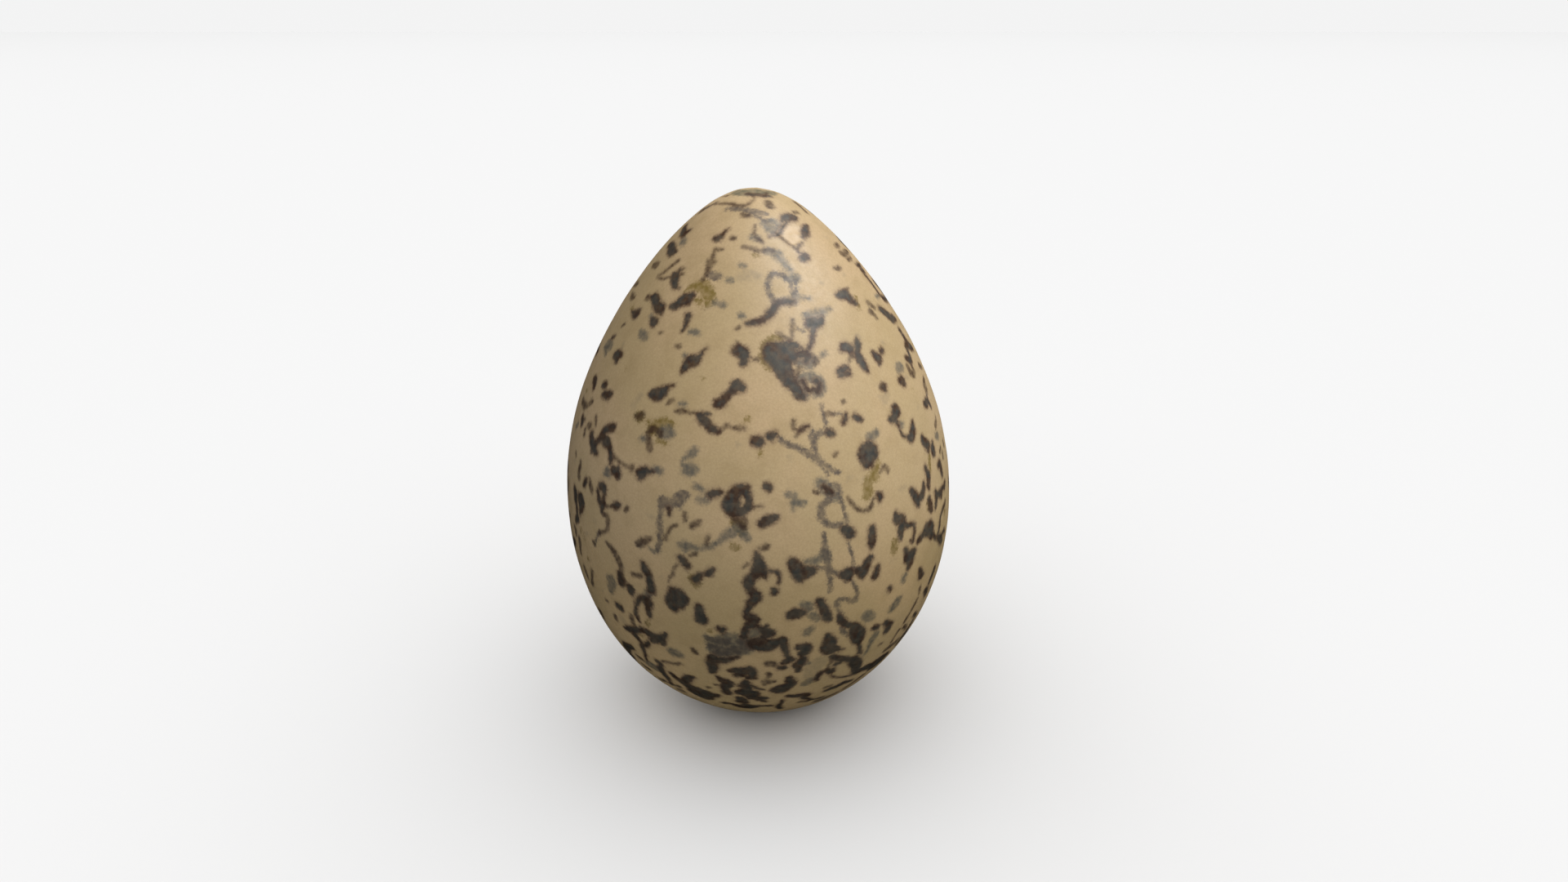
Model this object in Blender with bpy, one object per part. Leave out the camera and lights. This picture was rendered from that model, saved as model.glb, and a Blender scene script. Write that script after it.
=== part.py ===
"""An oystercatcher's egg, standing on its blunt end with the pointed end up.

Metres, +Z up. The origin is under the middle of the egg, on the surface it stands on.
The egg is one piece: a closed pear-like oval, a little uneven as every laid egg is,
with a small flat spot under the blunt end.
"""

import math

import bmesh
import bpy
from mathutils import Vector, noise

# Driving dimensions
LENGTH = 0.056  # end to end, before the flat spot is taken off
BREADTH = 0.040  # across the widest part
FOOT_RADIUS = 0.005  # of the flat spot that it stands on
TIP_LEAN = -0.0087  # sideways shift along X for each metre of height

# How the oval departs from an ellipse: each term widens or narrows it by height
TAPER = -0.179  # blunt below, pointed above
FLANK = -0.117  # fuller in the middle than at both ends
POINT = -0.075  # draws the pointed end in further

# The slight unevenness of the shell, as broad swells and as finer ones
SWELL_HEIGHT, SWELL_SIZE = 0.00010, 0.014
RIPPLE_HEIGHT, RIPPLE_SIZE = 0.00003, 0.004

# The worn tip, a little flattened and rough
WORN_RADIUS, WORN_DEPTH = 0.0042, 0.00012
CRUST_HEIGHT, CRUST_SIZE = 0.00009, 0.0013

FACET_LEVELS = 5  # subdivisions of the icosahedron that the egg is shaped from
SMOOTH_EDGE_ANGLE = math.radians(35)
SHELL_COLOUR = (0.53, 0.41, 0.25, 1.0)
SHELL_ROUGHNESS = 0.5
SEARCH_STEPS = 720
HALVINGS = 40  # of the interval in which the flat spot's depth lies


def oval(turn):
    """Radius before scaling, and height from the blunt end, at an angle from the pointed end."""
    rise = math.cos(turn)
    width = math.sin(turn) * (1 + TAPER * rise + FLANK * rise**2 + POINT * rise**3)
    return width, LENGTH / 2 * (1 + rise)


def widest():
    """The largest unscaled radius, so that the egg can be scaled to its breadth."""
    return max(oval(math.pi * i / SEARCH_STEPS)[0] for i in range(SEARCH_STEPS))


def foot_depth(scale):
    """How much of the blunt end the flat spot takes off, found where the oval is that wide."""
    low, high = math.pi / 2, math.pi
    for _ in range(HALVINGS):
        middle = (low + high) / 2
        if oval(middle)[0] * scale > FOOT_RADIUS:
            low = middle
        else:
            high = middle
    return oval(low)[1]


def unevenness(point):
    """Height of the shell's own relief at a point, above the even oval."""
    swell = SWELL_HEIGHT * noise.noise(point / SWELL_SIZE)
    ripple = RIPPLE_HEIGHT * noise.noise(point / RIPPLE_SIZE)
    reach = math.hypot(point.x, point.y) / WORN_RADIUS
    if point.z < LENGTH / 2 or reach > 1:
        return swell + ripple
    crust = CRUST_HEIGHT * noise.noise(point / CRUST_SIZE) - WORN_DEPTH
    return swell + ripple + crust * (1 - reach**2)


def shell_point(direction, scale):
    """The point of the shell that lies in a direction from the unit sphere's centre."""
    turn = math.acos(max(-1.0, min(1.0, direction.z)))
    width, height = oval(turn)
    around = Vector((direction.x, direction.y, 0))
    if around.length > 0:
        around.normalize()
    point = around * (width * scale) + Vector((0, 0, height))
    point += direction * unevenness(point)
    point.x += TIP_LEAN * (height - LENGTH / 2)
    return point


def egg_mesh():
    """A sphere of even facets, drawn out into the egg and cut flat underneath."""
    scale = BREADTH / 2 / widest()
    depth = foot_depth(scale)
    shape = bmesh.new()
    bmesh.ops.create_icosphere(shape, subdivisions=FACET_LEVELS, radius=1)
    for vertex in shape.verts:
        vertex.co = shell_point(vertex.co.normalized(), scale)
    parts = shape.verts[:] + shape.edges[:] + shape.faces[:]
    cut = bmesh.ops.bisect_plane(
        shape, geom=parts, plane_co=(0, 0, depth), plane_no=(0, 0, -1), clear_outer=True
    )
    rim = [part for part in cut["geom_cut"] if isinstance(part, bmesh.types.BMEdge)]
    bmesh.ops.edgeloop_fill(shape, edges=rim)
    bmesh.ops.recalc_face_normals(shape, faces=shape.faces)
    xs = [vertex.co.x for vertex in shape.verts]
    ys = [vertex.co.y for vertex in shape.verts]
    middle = Vector(((min(xs) + max(xs)) / 2, (min(ys) + max(ys)) / 2, depth))
    bmesh.ops.translate(shape, verts=shape.verts, vec=-middle)
    mesh = bpy.data.meshes.new("egg")
    shape.to_mesh(mesh)
    shape.free()
    return mesh


def shell_material():
    """Matt, buff eggshell."""
    material = bpy.data.materials.new("shell")
    material.use_nodes = True
    surface = material.node_tree.nodes["Principled BSDF"]
    surface.inputs["Base Color"].default_value = SHELL_COLOUR
    surface.inputs["Roughness"].default_value = SHELL_ROUGHNESS
    surface.inputs["Metallic"].default_value = 0.0
    return material


def build():
    for old in list(bpy.data.objects):
        bpy.data.objects.remove(old)
    mesh = egg_mesh()
    mesh.materials.append(shell_material())
    mesh.shade_smooth()
    mesh.set_sharp_from_angle(angle=SMOOTH_EDGE_ANGLE)
    bpy.context.scene.collection.objects.link(bpy.data.objects.new("egg", mesh))


build()
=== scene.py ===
"""The look of the oystercatcher's egg: a finely shaped shell with its markings, on a pale floor.

Sizes in the shape and the markings are millimetres, and the finished mesh is in metres.
A place on the shell is an azimuth, 0 towards the photograph's camera and growing to its
right, in degrees, and a height above the floor.
"""

import math
import random

import bmesh
import bpy
import numpy as np
from mathutils import Color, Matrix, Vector, noise


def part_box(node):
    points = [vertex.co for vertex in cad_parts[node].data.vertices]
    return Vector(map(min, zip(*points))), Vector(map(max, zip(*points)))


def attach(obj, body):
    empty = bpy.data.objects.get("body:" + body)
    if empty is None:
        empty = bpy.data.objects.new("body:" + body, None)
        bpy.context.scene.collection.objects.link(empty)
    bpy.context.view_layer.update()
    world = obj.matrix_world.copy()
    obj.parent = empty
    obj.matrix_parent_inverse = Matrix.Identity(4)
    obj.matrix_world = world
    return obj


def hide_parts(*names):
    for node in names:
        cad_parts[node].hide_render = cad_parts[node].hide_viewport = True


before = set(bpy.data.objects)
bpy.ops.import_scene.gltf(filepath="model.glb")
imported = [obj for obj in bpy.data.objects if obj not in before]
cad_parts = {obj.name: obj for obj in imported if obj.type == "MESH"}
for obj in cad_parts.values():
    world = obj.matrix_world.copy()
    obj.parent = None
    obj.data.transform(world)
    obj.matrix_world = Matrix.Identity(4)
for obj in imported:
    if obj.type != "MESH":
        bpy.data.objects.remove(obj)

METRES = 0.001  # in a millimetre
TINY = 1e-9  # keeps a division from failing where a length is 0

# The egg's oval, as in the CAD source
LENGTH, BREADTH = 56.0, 40.0
FOOT_RADIUS = 5.0
TIP_LEAN = -0.0087
TAPER, FLANK, POINT = -0.179, -0.117, -0.075
SWELL_HEIGHT, SWELL_SIZE = 0.10, 14.0
RIPPLE_HEIGHT, RIPPLE_SIZE = 0.03, 4.0
WORN_RADIUS, WORN_DEPTH = 4.2, 0.12
CRUST_HEIGHT, CRUST_SIZE = 0.09, 1.3
OVAL_STEPS = 4000

# Markings that the photograph shows, each a chain of (azimuth, height, half width)

# Near black pigment, from drops and commas to merged blotches
INK = [
    # the pointed end
    ((14, 51.98, 0.1), (18, 52.02, 0.14), (21, 52.1, 0.14), (25.5, 52.4, 0.13), (30, 52.7, 0.12),
     (36, 52.9, 0.1)),
    ((31, 53.05, 0.15), (36, 53.2, 0.42), (43, 53.2, 0.5), (48, 53.1, 0.36)),
    ((55, 52.35, 0.22), (50, 52.15, 0.4), (46.5, 51.85, 0.38), (43.8, 51.7, 0.25)),
    ((33, 50.2, 0.4), (35.4, 50.25, 0.42)),
    ((33.2, 50.5, 0.1), (31.5, 50.7, 0.08)),
    ((-31, 51.75, 0.2), (-28.5, 51.75, 0.34), (-26, 51.85, 0.32), (-24.3, 52.2, 0.14),
     (-21.5, 52.5, 0.06)),
    ((-80, 51.85, 0.25), (-76, 51.7, 0.36), (-71, 51.55, 0.48), (-67, 51.45, 0.4), (-64.5, 51.7, 0.2),
     (-62, 51.9, 0.08)),
    ((-75, 50.3, 0.34), (-71, 50.3, 0.46), (-67, 50.15, 0.54), (-63, 50.0, 0.5), (-60, 50.05, 0.26)),
    ((-60, 50.0, 0.2), (-58, 50.1, 0.08)),
    # high on the left
    ((-47.3, 48.5, 0.28), (-46, 48.45, 0.42), (-44.5, 48.15, 0.42), (-43, 47.85, 0.33),
     (-41.2, 47.6, 0.15)),
    ((-41.5, 47.65, 0.12), (-38.8, 47.75, 0.05)),
    ((-45.5, 48.6, 0.2), (-44.8, 49.0, 0.12), (-43, 49.15, 0.06)),
    ((-54.6, 46.45, 0.22), (-52.4, 46.5, 0.44), (-50, 46.25, 0.5), (-47.5, 46.0, 0.54),
     (-45.2, 45.85, 0.54)),
    ((-45.2, 45.85, 0.54), (-43.7, 45.7, 0.36)),
    ((-46.4, 44.8, 0.3), (-45.1, 44.7, 0.42), (-44.1, 44.9, 0.24)),
    ((-64, 44.75, 0.12), (-61.5, 44.75, 0.34), (-59.6, 44.75, 0.48), (-58.4, 45.0, 0.32)),
    ((-70.3, 41.95, 0.1), (-69, 42.1, 0.2), (-67.8, 42.3, 0.1)),
    ((-60, 41.1, 0.28), (-58.3, 41.3, 0.42), (-56.2, 41.4, 0.3)),
    ((-58.8, 41.0, 0.3), (-57.3, 40.8, 0.3)),
    ((-38.8, 46.25, 0.28), (-36.8, 46.4, 0.42), (-34.3, 46.8, 0.56), (-32, 47.0, 0.56),
     (-30.6, 47.25, 0.36)),
    ((-28.9, 45.85, 0.22), (-28.2, 45.8, 0.28), (-28.5, 45.2, 0.18), (-29.2, 44.65, 0.1)),
    ((-25, 41.55, 0.25), (-24.2, 41.9, 0.38), (-22.6, 42.35, 0.54), (-20.8, 42.5, 0.46),
     (-19.7, 42.8, 0.25)),
    ((-19.7, 42.8, 0.22), (-18.6, 43.25, 0.12), (-17.3, 43.55, 0.05)),
    ((-5.9, 43.5, 0.42), (-4.4, 43.5, 0.58), (-3.2, 43.2, 0.52), (-2.5, 42.85, 0.4),
     (-3.2, 42.55, 0.28)),
    ((-4.9, 40.8, 0.5), (-3.7, 40.7, 0.46)),
    ((-4.9, 40.8, 0.45), (-6.6, 40.4, 0.32), (-8.2, 40.0, 0.36), (-9.6, 39.6, 0.46),
     (-10.6, 39.3, 0.4)),
    ((-11, 39.55, 0.2), (-12, 39.65, 0.08)),
    # high on the right
    ((-1.3, 45.6, 0.26), (0.5, 45.65, 0.3), (3, 45.7, 0.3), (5, 45.85, 0.3), (7.2, 46.1, 0.28),
     (8.5, 46.35, 0.28)),
    ((5.8, 46.2, 0.1), (6.3, 46.4, 0.06)),
    ((43.6, 47.0, 0.2), (45.2, 46.95, 0.36), (47.5, 46.9, 0.5), (49.8, 46.8, 0.5), (50.8, 46.4, 0.4)),
    ((50.8, 46.4, 0.4), (52, 46.15, 0.33), (53.5, 46.0, 0.15)),
    ((24.6, 45.3, 0.48), (26.5, 45.25, 0.55), (28.3, 45.3, 0.52), (29.8, 45.4, 0.34),
     (30.6, 45.6, 0.2)),
    ((25, 44.8, 0.3), (24.2, 44.3, 0.2), (22.8, 43.8, 0.19), (21.3, 43.45, 0.18), (20, 43.1, 0.22)),
    ((6.2, 43.1, 0.45), (8, 43.2, 0.85), (10.5, 43.2, 1.0), (12.8, 43.1, 0.9), (14.6, 43.0, 0.6)),
    ((14, 43.7, 0.4), (16, 43.8, 0.3), (17.8, 43.65, 0.2), (18.8, 43.5, 0.08)),
    ((9.5, 43.7, 0.4), (13, 43.9, 0.3)),
    ((9.2, 42.2, 0.5), (11.2, 41.95, 0.55), (12.6, 41.7, 0.52)),
    ((12.4, 41.4, 0.5), (13.2, 40.95, 0.48), (14.2, 40.45, 0.46), (15.2, 40.0, 0.45), (16, 39.8, 0.36)),
    ((17.5, 43.1, 0.36), (19.2, 43.1, 0.4), (20.4, 42.8, 0.32), (19.2, 42.5, 0.25)),
    ((21.6, 40.9, 0.24), (22.4, 40.5, 0.22), (21.6, 40.1, 0.24), (20.2, 40.3, 0.16)),
    ((34.9, 43.0, 0.28), (36.4, 43.05, 0.48), (38, 42.95, 0.46), (39.2, 42.8, 0.28)),
    ((43.5, 43.25, 0.3), (42.8, 42.95, 0.4), (41.8, 42.5, 0.36), (41.3, 42.1, 0.4),
     (41.5, 41.7, 0.44), (42.1, 41.35, 0.42)),
    ((42, 41.35, 0.33), (42.9, 41.05, 0.28), (42.9, 40.85, 0.22)),
    ((30.8, 41.3, 0.22), (32.5, 41.35, 0.33), (34.3, 41.5, 0.22), (35.6, 41.3, 0.12)),
    ((31.3, 40.95, 0.2), (33.5, 41.0, 0.3), (34.8, 40.95, 0.2)),
    ((49, 42.0, 0.25), (49.9, 41.6, 0.44), (50.9, 41.45, 0.44), (50.2, 41.15, 0.3)),
    ((53.7, 41.85, 0.28), (54.7, 41.9, 0.28)),
    ((78.5, 48.3, 0.15), (82, 48.15, 0.25), (87, 48.1, 0.15)),
    ((80, 47.8, 0.3), (83, 47.6, 0.34)),
    ((79.5, 47.3, 0.24), (80.3, 46.4, 0.24), (79.8, 45.6, 0.24), (81, 45.1, 0.3), (84, 44.8, 0.38),
     (87, 44.6, 0.3)),
    ((86, 44.7, 0.28), (90, 44.5, 0.2)),
    ((68.8, 44.7, 0.32), (70.6, 44.4, 0.42), (73, 44.0, 0.5), (75.5, 43.5, 0.52), (78, 43.3, 0.4)),
    ((78, 43.3, 0.4), (81, 43.05, 0.18)),
    ((77, 42.2, 0.28), (77.6, 41.7, 0.32), (77.5, 41.2, 0.42), (76.5, 40.9, 0.5), (74.5, 40.9, 0.36)),
    ((74.5, 40.85, 0.33), (73.2, 40.8, 0.25)),
    ((77.5, 40.7, 0.52), (79.5, 40.4, 0.4), (81.5, 40.15, 0.24)),
    ((68.2, 40.2, 0.25), (69.6, 40.0, 0.36), (71.5, 39.75, 0.38), (73, 40.1, 0.25), (73.5, 40.6, 0.2)),
    # the left side
    ((-85, 40.0, 0.35), (-81.5, 39.7, 0.35)),
    ((-68.4, 38.15, 0.4), (-66.9, 38.05, 0.42), (-66.2, 37.6, 0.24)),
    ((-59.4, 38.4, 0.36), (-58.6, 38.5, 0.38)),
    ((-57.8, 37.7, 0.24), (-56.4, 37.8, 0.36), (-54.8, 37.85, 0.42), (-53.6, 38.0, 0.34),
     (-52.4, 38.2, 0.12)),
    ((-68, 34.5, 0.34), (-67.2, 34.3, 0.38), (-67.2, 33.9, 0.22)),
    ((-66.8, 34.5, 0.1), (-65, 34.65, 0.05)),
    ((-57.4, 34.0, 0.38), (-56.6, 33.6, 0.46), (-55.4, 33.2, 0.48), (-54, 32.95, 0.42),
     (-52.4, 32.8, 0.24)),
    ((-55.3, 32.6, 0.15), (-54.5, 32.8, 0.3)),
    ((-54.6, 33.2, 0.36), (-53.4, 33.7, 0.34), (-52, 34.2, 0.36), (-51, 34.7, 0.4)),
    ((-46.6, 33.9, 0.3), (-45.8, 33.4, 0.26), (-45.3, 33.0, 0.3), (-44.9, 32.6, 0.14)),
    ((-52, 34.3, 0.2), (-51.3, 34.7, 0.32), (-50.3, 35.1, 0.4), (-48.8, 35.35, 0.4),
     (-47.2, 35.6, 0.42), (-46.3, 35.8, 0.22)),
    ((-48.5, 34.0, 0.3), (-48.3, 34.4, 0.2)),
    ((-42.9, 32.1, 0.42), (-41.4, 31.95, 0.46)),
    ((-41.5, 32.4, 0.25), (-41.4, 32.6, 0.15)),
    ((-57, 29.2, 0.26), (-56.5, 29.5, 0.34), (-56.2, 29.8, 0.24)),
    ((-47.6, 30.15, 0.45), (-46.6, 30.15, 0.48), (-46.1, 29.8, 0.33)),
    ((-49.2, 29.5, 0.2), (-48.5, 29.0, 0.26), (-47.6, 28.5, 0.3)),
    ((-46.2, 29.3, 0.28), (-46.1, 28.8, 0.28), (-46.6, 28.3, 0.4), (-46.5, 27.8, 0.25)),
    ((-41, 29.0, 0.34), (-39.8, 29.15, 0.34)),
    ((-34.6, 39.3, 0.3), (-33.2, 39.35, 0.54), (-31.6, 39.5, 0.64), (-30.2, 39.75, 0.44),
     (-29.2, 40.0, 0.25)),
    ((-29.6, 40.1, 0.18), (-28, 40.3, 0.14), (-26.8, 40.42, 0.08)),
    ((-16.3, 38.35, 0.3), (-15.3, 38.1, 0.44), (-14, 37.85, 0.4), (-12.5, 37.5, 0.32),
     (-11.2, 37.25, 0.3)),
    ((-11.2, 37.35, 0.28), (-10.3, 37.2, 0.18)),
    ((-14.8, 38.5, 0.22), (-13.3, 38.5, 0.1)),
    ((-33.4, 32.7, 0.36), (-32.4, 32.85, 0.44), (-31.2, 33.0, 0.32)),
    ((-33, 32.3, 0.26), (-32.2, 32.5, 0.28)),
    ((-31, 33.0, 0.2), (-29.8, 33.0, 0.17), (-28.8, 33.1, 0.08)),
    # the middle
    ((-1.6, 32.7, 0.28), (-3, 32.6, 0.42), (-4.4, 32.3, 0.54), (-5.6, 31.8, 0.62), (-6.2, 31.2, 0.7),
     (-5.2, 30.8, 0.68)),
    ((-5.2, 30.8, 0.68), (-3.8, 30.6, 0.5), (-2.2, 30.75, 0.42), (-1.1, 31.2, 0.36),
     (-1.2, 31.8, 0.34), (-1.8, 32.3, 0.4)),
    ((-5, 31.6, 0.56), (-4.8, 31.2, 0.5)),
    ((3.9, 32.72, 0.36), (4.3, 32.68, 0.36)),
    ((2.2, 29.6, 0.4), (3.6, 29.8, 0.5), (5, 29.95, 0.42), (6, 30.1, 0.22)),
    ((-23, 30.2, 0.24), (-22.8, 29.7, 0.12)),
    ((-11.4, 31.9, 0.32), (-10.2, 32.1, 0.38), (-9.1, 32.2, 0.34)),
    ((0.6, 36.5, 0.42), (1.6, 36.5, 0.48), (2.4, 36.45, 0.34)),
    ((4.8, 36.85, 0.34), (5.7, 36.9, 0.4), (6.5, 37.0, 0.26)),
    ((-19.6, 25.8, 0.28), (-18.5, 25.5, 0.36), (-17.4, 25.1, 0.32)),
    ((-12.8, 24.6, 0.24), (-11.7, 24.75, 0.36), (-10.7, 25.0, 0.24)),
    ((-13.6, 24.5, 0.2), (-14.5, 24.2, 0.32), (-15.3, 23.9, 0.4)),
    ((0.6, 26.9, 0.16), (1, 26.3, 0.36), (1.4, 25.6, 0.58), (1, 25.0, 0.58), (-0.6, 24.5, 0.48),
     (-1.6, 24.0, 0.48)),
    ((-1.6, 24.0, 0.48), (-1.4, 23.5, 0.44), (-0.5, 23.0, 0.44), (0.4, 22.6, 0.54), (0, 22.2, 0.44),
     (-1.2, 21.8, 0.36)),
    ((-1.2, 21.8, 0.34), (-2, 21.3, 0.28), (-2.2, 20.8, 0.32), (-1.4, 20.3, 0.54), (-0.4, 20.0, 0.54),
     (-1, 19.6, 0.5)),
    ((-1, 19.6, 0.5), (-2.2, 19.2, 0.32), (-2.8, 18.7, 0.32), (-3.2, 18.2, 0.34), (-2.8, 17.9, 0.26)),
    ((1.6, 25.2, 0.28), (2.7, 24.95, 0.33), (2.8, 24.5, 0.2)),
    ((3.2, 25.3, 0.1), (5, 25.1, 0.12), (6, 24.85, 0.2), (6.5, 24.3, 0.14), (6.1, 23.9, 0.1)),
    ((5.3, 23.2, 0.28), (5.1, 22.9, 0.32)),
    ((0.5, 19.4, 0.14), (1.6, 19.0, 0.26), (3, 19.3, 0.18)),
    ((2.6, 18.6, 0.48), (4, 18.4, 0.45), (2.2, 18.0, 0.4)),
    ((-9.9, 18.8, 0.26), (-9.2, 18.6, 0.34), (-8.6, 18.8, 0.24)),
    ((-14.9, 20.9, 0.4), (-14.9, 20.3, 0.46), (-14.5, 19.6, 0.58)),
    ((-21.8, 22.2, 0.52), (-20.3, 22.0, 0.66), (-19.3, 21.5, 0.62)),
    ((-22.4, 21.5, 0.66), (-22.6, 20.9, 0.66), (-22, 20.4, 0.48)),
    ((-20.8, 21.4, 0.9), (-20.4, 20.9, 0.56)),
    ((-30.8, 24.2, 0.32), (-30.2, 23.8, 0.46), (-29.4, 23.4, 0.42), (-29, 22.7, 0.38),
     (-28.7, 22.1, 0.44), (-28.7, 21.7, 0.44)),
    ((-29.6, 21.5, 0.24), (-28.9, 21.8, 0.3)),
    ((-32.3, 20.4, 0.34), (-31.3, 20.4, 0.5), (-30.3, 20.3, 0.52), (-30, 19.9, 0.36)),
    ((-31.2, 19.9, 0.36), (-31, 19.4, 0.28), (-30.8, 18.9, 0.32), (-30.7, 18.6, 0.26)),
    ((-32.3, 20.4, 0.25), (-33.4, 20.2, 0.24), (-34.4, 19.8, 0.22), (-35, 19.3, 0.19),
     (-35.5, 18.8, 0.19), (-35.8, 18.0, 0.19)),
    ((-35.8, 18.0, 0.19), (-35.5, 17.5, 0.19), (-35.1, 17.2, 0.1)),
    ((-36.6, 21.1, 0.36), (-35.8, 20.9, 0.42), (-36.3, 20.6, 0.34)),
    ((-40, 22.2, 0.24), (-39.7, 21.7, 0.4), (-39.8, 21.2, 0.44)),
    # the right side
    ((33, 34.2, 0.72), (34.6, 34.2, 0.92), (36, 34.4, 0.7)),
    ((33, 33.5, 0.42), (34.8, 33.4, 0.38)),
    ((33.6, 34.9, 0.38), (35.6, 35.0, 0.36)),
    ((35.9, 30.5, 0.28), (36.3, 30.3, 0.34), (36.0, 29.9, 0.18)),
    ((19.2, 32.3, 0.2), (20.4, 31.9, 0.26), (21.4, 31.6, 0.22)),
    ((22.8, 36.7, 0.3), (23.7, 36.65, 0.28), (24.4, 36.5, 0.16)),
    ((14.2, 37.15, 0.18), (15.4, 37.3, 0.24), (16.3, 37.4, 0.18)),
    ((28.2, 37.35, 0.26), (28.9, 37.6, 0.28), (29.5, 37.95, 0.16)),
    ((32.6, 37.6, 0.22), (33.6, 37.4, 0.26), (34.4, 37.2, 0.18)),
    ((47.1, 39.18, 0.38), (47.7, 39.12, 0.38)),
    ((46.1, 36.45, 0.28), (47.6, 36.45, 0.4), (49, 36.8, 0.52), (49.7, 37.1, 0.46), (50.5, 36.8, 0.34)),
    ((47.6, 36.3, 0.22), (48.4, 36.0, 0.24), (48.8, 35.65, 0.14)),
    ((48.9, 35.2, 0.08), (49.8, 34.7, 0.1), (51, 34.4, 0.14), (52.5, 34.2, 0.32), (53.8, 34.15, 0.48),
     (55, 34.5, 0.46)),
    ((55, 34.5, 0.46), (55.8, 34.9, 0.36), (56.2, 35.3, 0.2)),
    ((48.7, 29.6, 0.36), (49.5, 29.2, 0.45), (50.4, 28.7, 0.45), (51, 28.1, 0.42)),
    ((52, 28.4, 0.38), (53.4, 28.5, 0.4), (54.6, 28.9, 0.32), (55, 29.4, 0.24), (55.2, 29.7, 0.12)),
    ((57.1, 39.0, 0.36), (58.5, 38.95, 0.48), (58.7, 38.6, 0.36)),
    ((67.8, 35.8, 0.3), (69.5, 35.75, 0.42), (71.2, 35.75, 0.4), (72.8, 35.4, 0.24),
     (73.4, 34.9, 0.13)),
    ((59.5, 33.5, 0.32), (60, 33.1, 0.46), (61, 32.7, 0.52), (61.8, 32.4, 0.46), (61.2, 32.1, 0.3)),
    ((62.2, 32.6, 0.16), (63.2, 32.3, 0.14)),
    ((65, 32.0, 0.36), (64.5, 31.6, 0.42), (65.4, 31.3, 0.32), (65.8, 32.3, 0.2)),
    ((57.5, 30.8, 0.3), (58, 30.4, 0.34), (58.5, 29.9, 0.38), (58.3, 29.4, 0.4), (57.8, 29.0, 0.34),
     (58, 28.7, 0.2)),
    ((67, 29.8, 0.32), (68.3, 29.8, 0.44), (69, 29.4, 0.44), (69.2, 28.9, 0.34), (69.6, 28.4, 0.25)),
    ((24.2, 28.2, 0.36), (25.2, 28.0, 0.54), (26, 27.7, 0.48)),
    ((32.7, 27.6, 0.36), (32.7, 27.1, 0.44), (32.5, 26.6, 0.46), (32.3, 26.1, 0.38),
     (32.1, 25.8, 0.18)),
    ((41.4, 28.1, 0.28), (41.6, 27.6, 0.44), (42.8, 27.5, 0.54), (44, 27.4, 0.38), (43.5, 26.9, 0.48),
     (42.9, 26.4, 0.4)),
    ((42.9, 26.4, 0.4), (42.5, 25.9, 0.34), (42.6, 25.5, 0.18)),
    ((44.4, 26.8, 0.34), (45.8, 26.5, 0.28), (47.4, 26.4, 0.26), (48.3, 26.2, 0.26),
     (48.3, 25.5, 0.2), (48, 24.9, 0.19)),
    ((48, 24.9, 0.19), (47.5, 24.6, 0.16), (46.7, 24.9, 0.08)),
    ((34.4, 23.7, 0.2), (34, 23.4, 0.3), (33.6, 23.0, 0.4), (33.4, 22.7, 0.4)),
    ((44.6, 24.2, 0.26), (45.2, 23.6, 0.44), (45.8, 23.1, 0.6), (46.8, 23.1, 0.64),
     (47.8, 23.4, 0.48), (48.6, 23.5, 0.28)),
    ((46.6, 22.5, 0.48), (46, 22.0, 0.26)),
    ((38.9, 20.8, 0.24), (39.3, 20.5, 0.25)),
    ((57.4, 27.6, 0.34), (57.7, 27.1, 0.48), (58, 26.6, 0.42), (58.6, 26.3, 0.18)),
    ((62, 27.7, 0.3), (62.6, 27.3, 0.4), (64, 27.2, 0.36), (65.6, 27.1, 0.42), (66.8, 27.0, 0.4),
     (66.6, 26.6, 0.28)),
    ((62.2, 27.0, 0.32), (61.6, 26.5, 0.32), (61.2, 26.2, 0.18)),
    ((67.6, 27.3, 0.18), (70, 27.2, 0.28), (71.4, 27.3, 0.33), (70.5, 26.9, 0.24)),
    ((50.2, 24.3, 0.3), (52, 24.5, 0.36), (53.6, 24.7, 0.48), (55.2, 24.8, 0.7), (56.6, 24.7, 0.8),
     (57.6, 24.5, 0.66)),
    ((57.8, 24.1, 0.52), (58, 23.7, 0.44), (59, 23.7, 0.3), (60, 23.2, 0.2), (60.8, 22.9, 0.2),
     (62, 23.0, 0.16)),
    ((62, 23.0, 0.18), (63.4, 23.3, 0.22), (64.2, 23.9, 0.22), (64.6, 24.5, 0.22), (65.8, 24.9, 0.2),
     (67.5, 25.2, 0.22)),
    ((67.5, 25.2, 0.14), (69.5, 25.3, 0.24), (70.5, 25.5, 0.18)),
    ((62.8, 22.7, 0.28), (64.6, 22.4, 0.42), (65.8, 22.0, 0.48), (67.2, 21.7, 0.43), (68, 21.4, 0.25)),
    ((67, 22.3, 0.22), (69, 22.4, 0.22), (71, 21.9, 0.18)),
    ((52, 20.9, 0.24), (52.6, 20.5, 0.34), (53.2, 20.1, 0.44), (53.9, 19.9, 0.34), (54.8, 19.8, 0.18)),
    ((64, 18.9, 0.42), (63, 18.3, 0.46), (61.8, 17.7, 0.36)),
    ((59.6, 17.1, 0.32), (60.8, 16.8, 0.46), (62, 16.3, 0.46)),
    ((9.9, 25.8, 0.48), (10.5, 25.4, 0.62), (11, 24.9, 0.62), (11.5, 24.4, 0.5), (11.9, 24.0, 0.3)),
    ((12.6, 24.9, 0.46), (14, 24.8, 0.46), (15, 24.7, 0.34), (13.2, 24.4, 0.34)),
    ((9.5, 20.4, 0.5), (10.6, 20.5, 0.56), (11.8, 20.5, 0.42), (12.8, 20.6, 0.2)),
    ((17, 21.5, 0.4), (17.5, 21.1, 0.46), (18.1, 20.6, 0.46), (18.7, 20.1, 0.48), (19.4, 19.6, 0.44),
     (19.9, 19.3, 0.32)),
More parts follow.
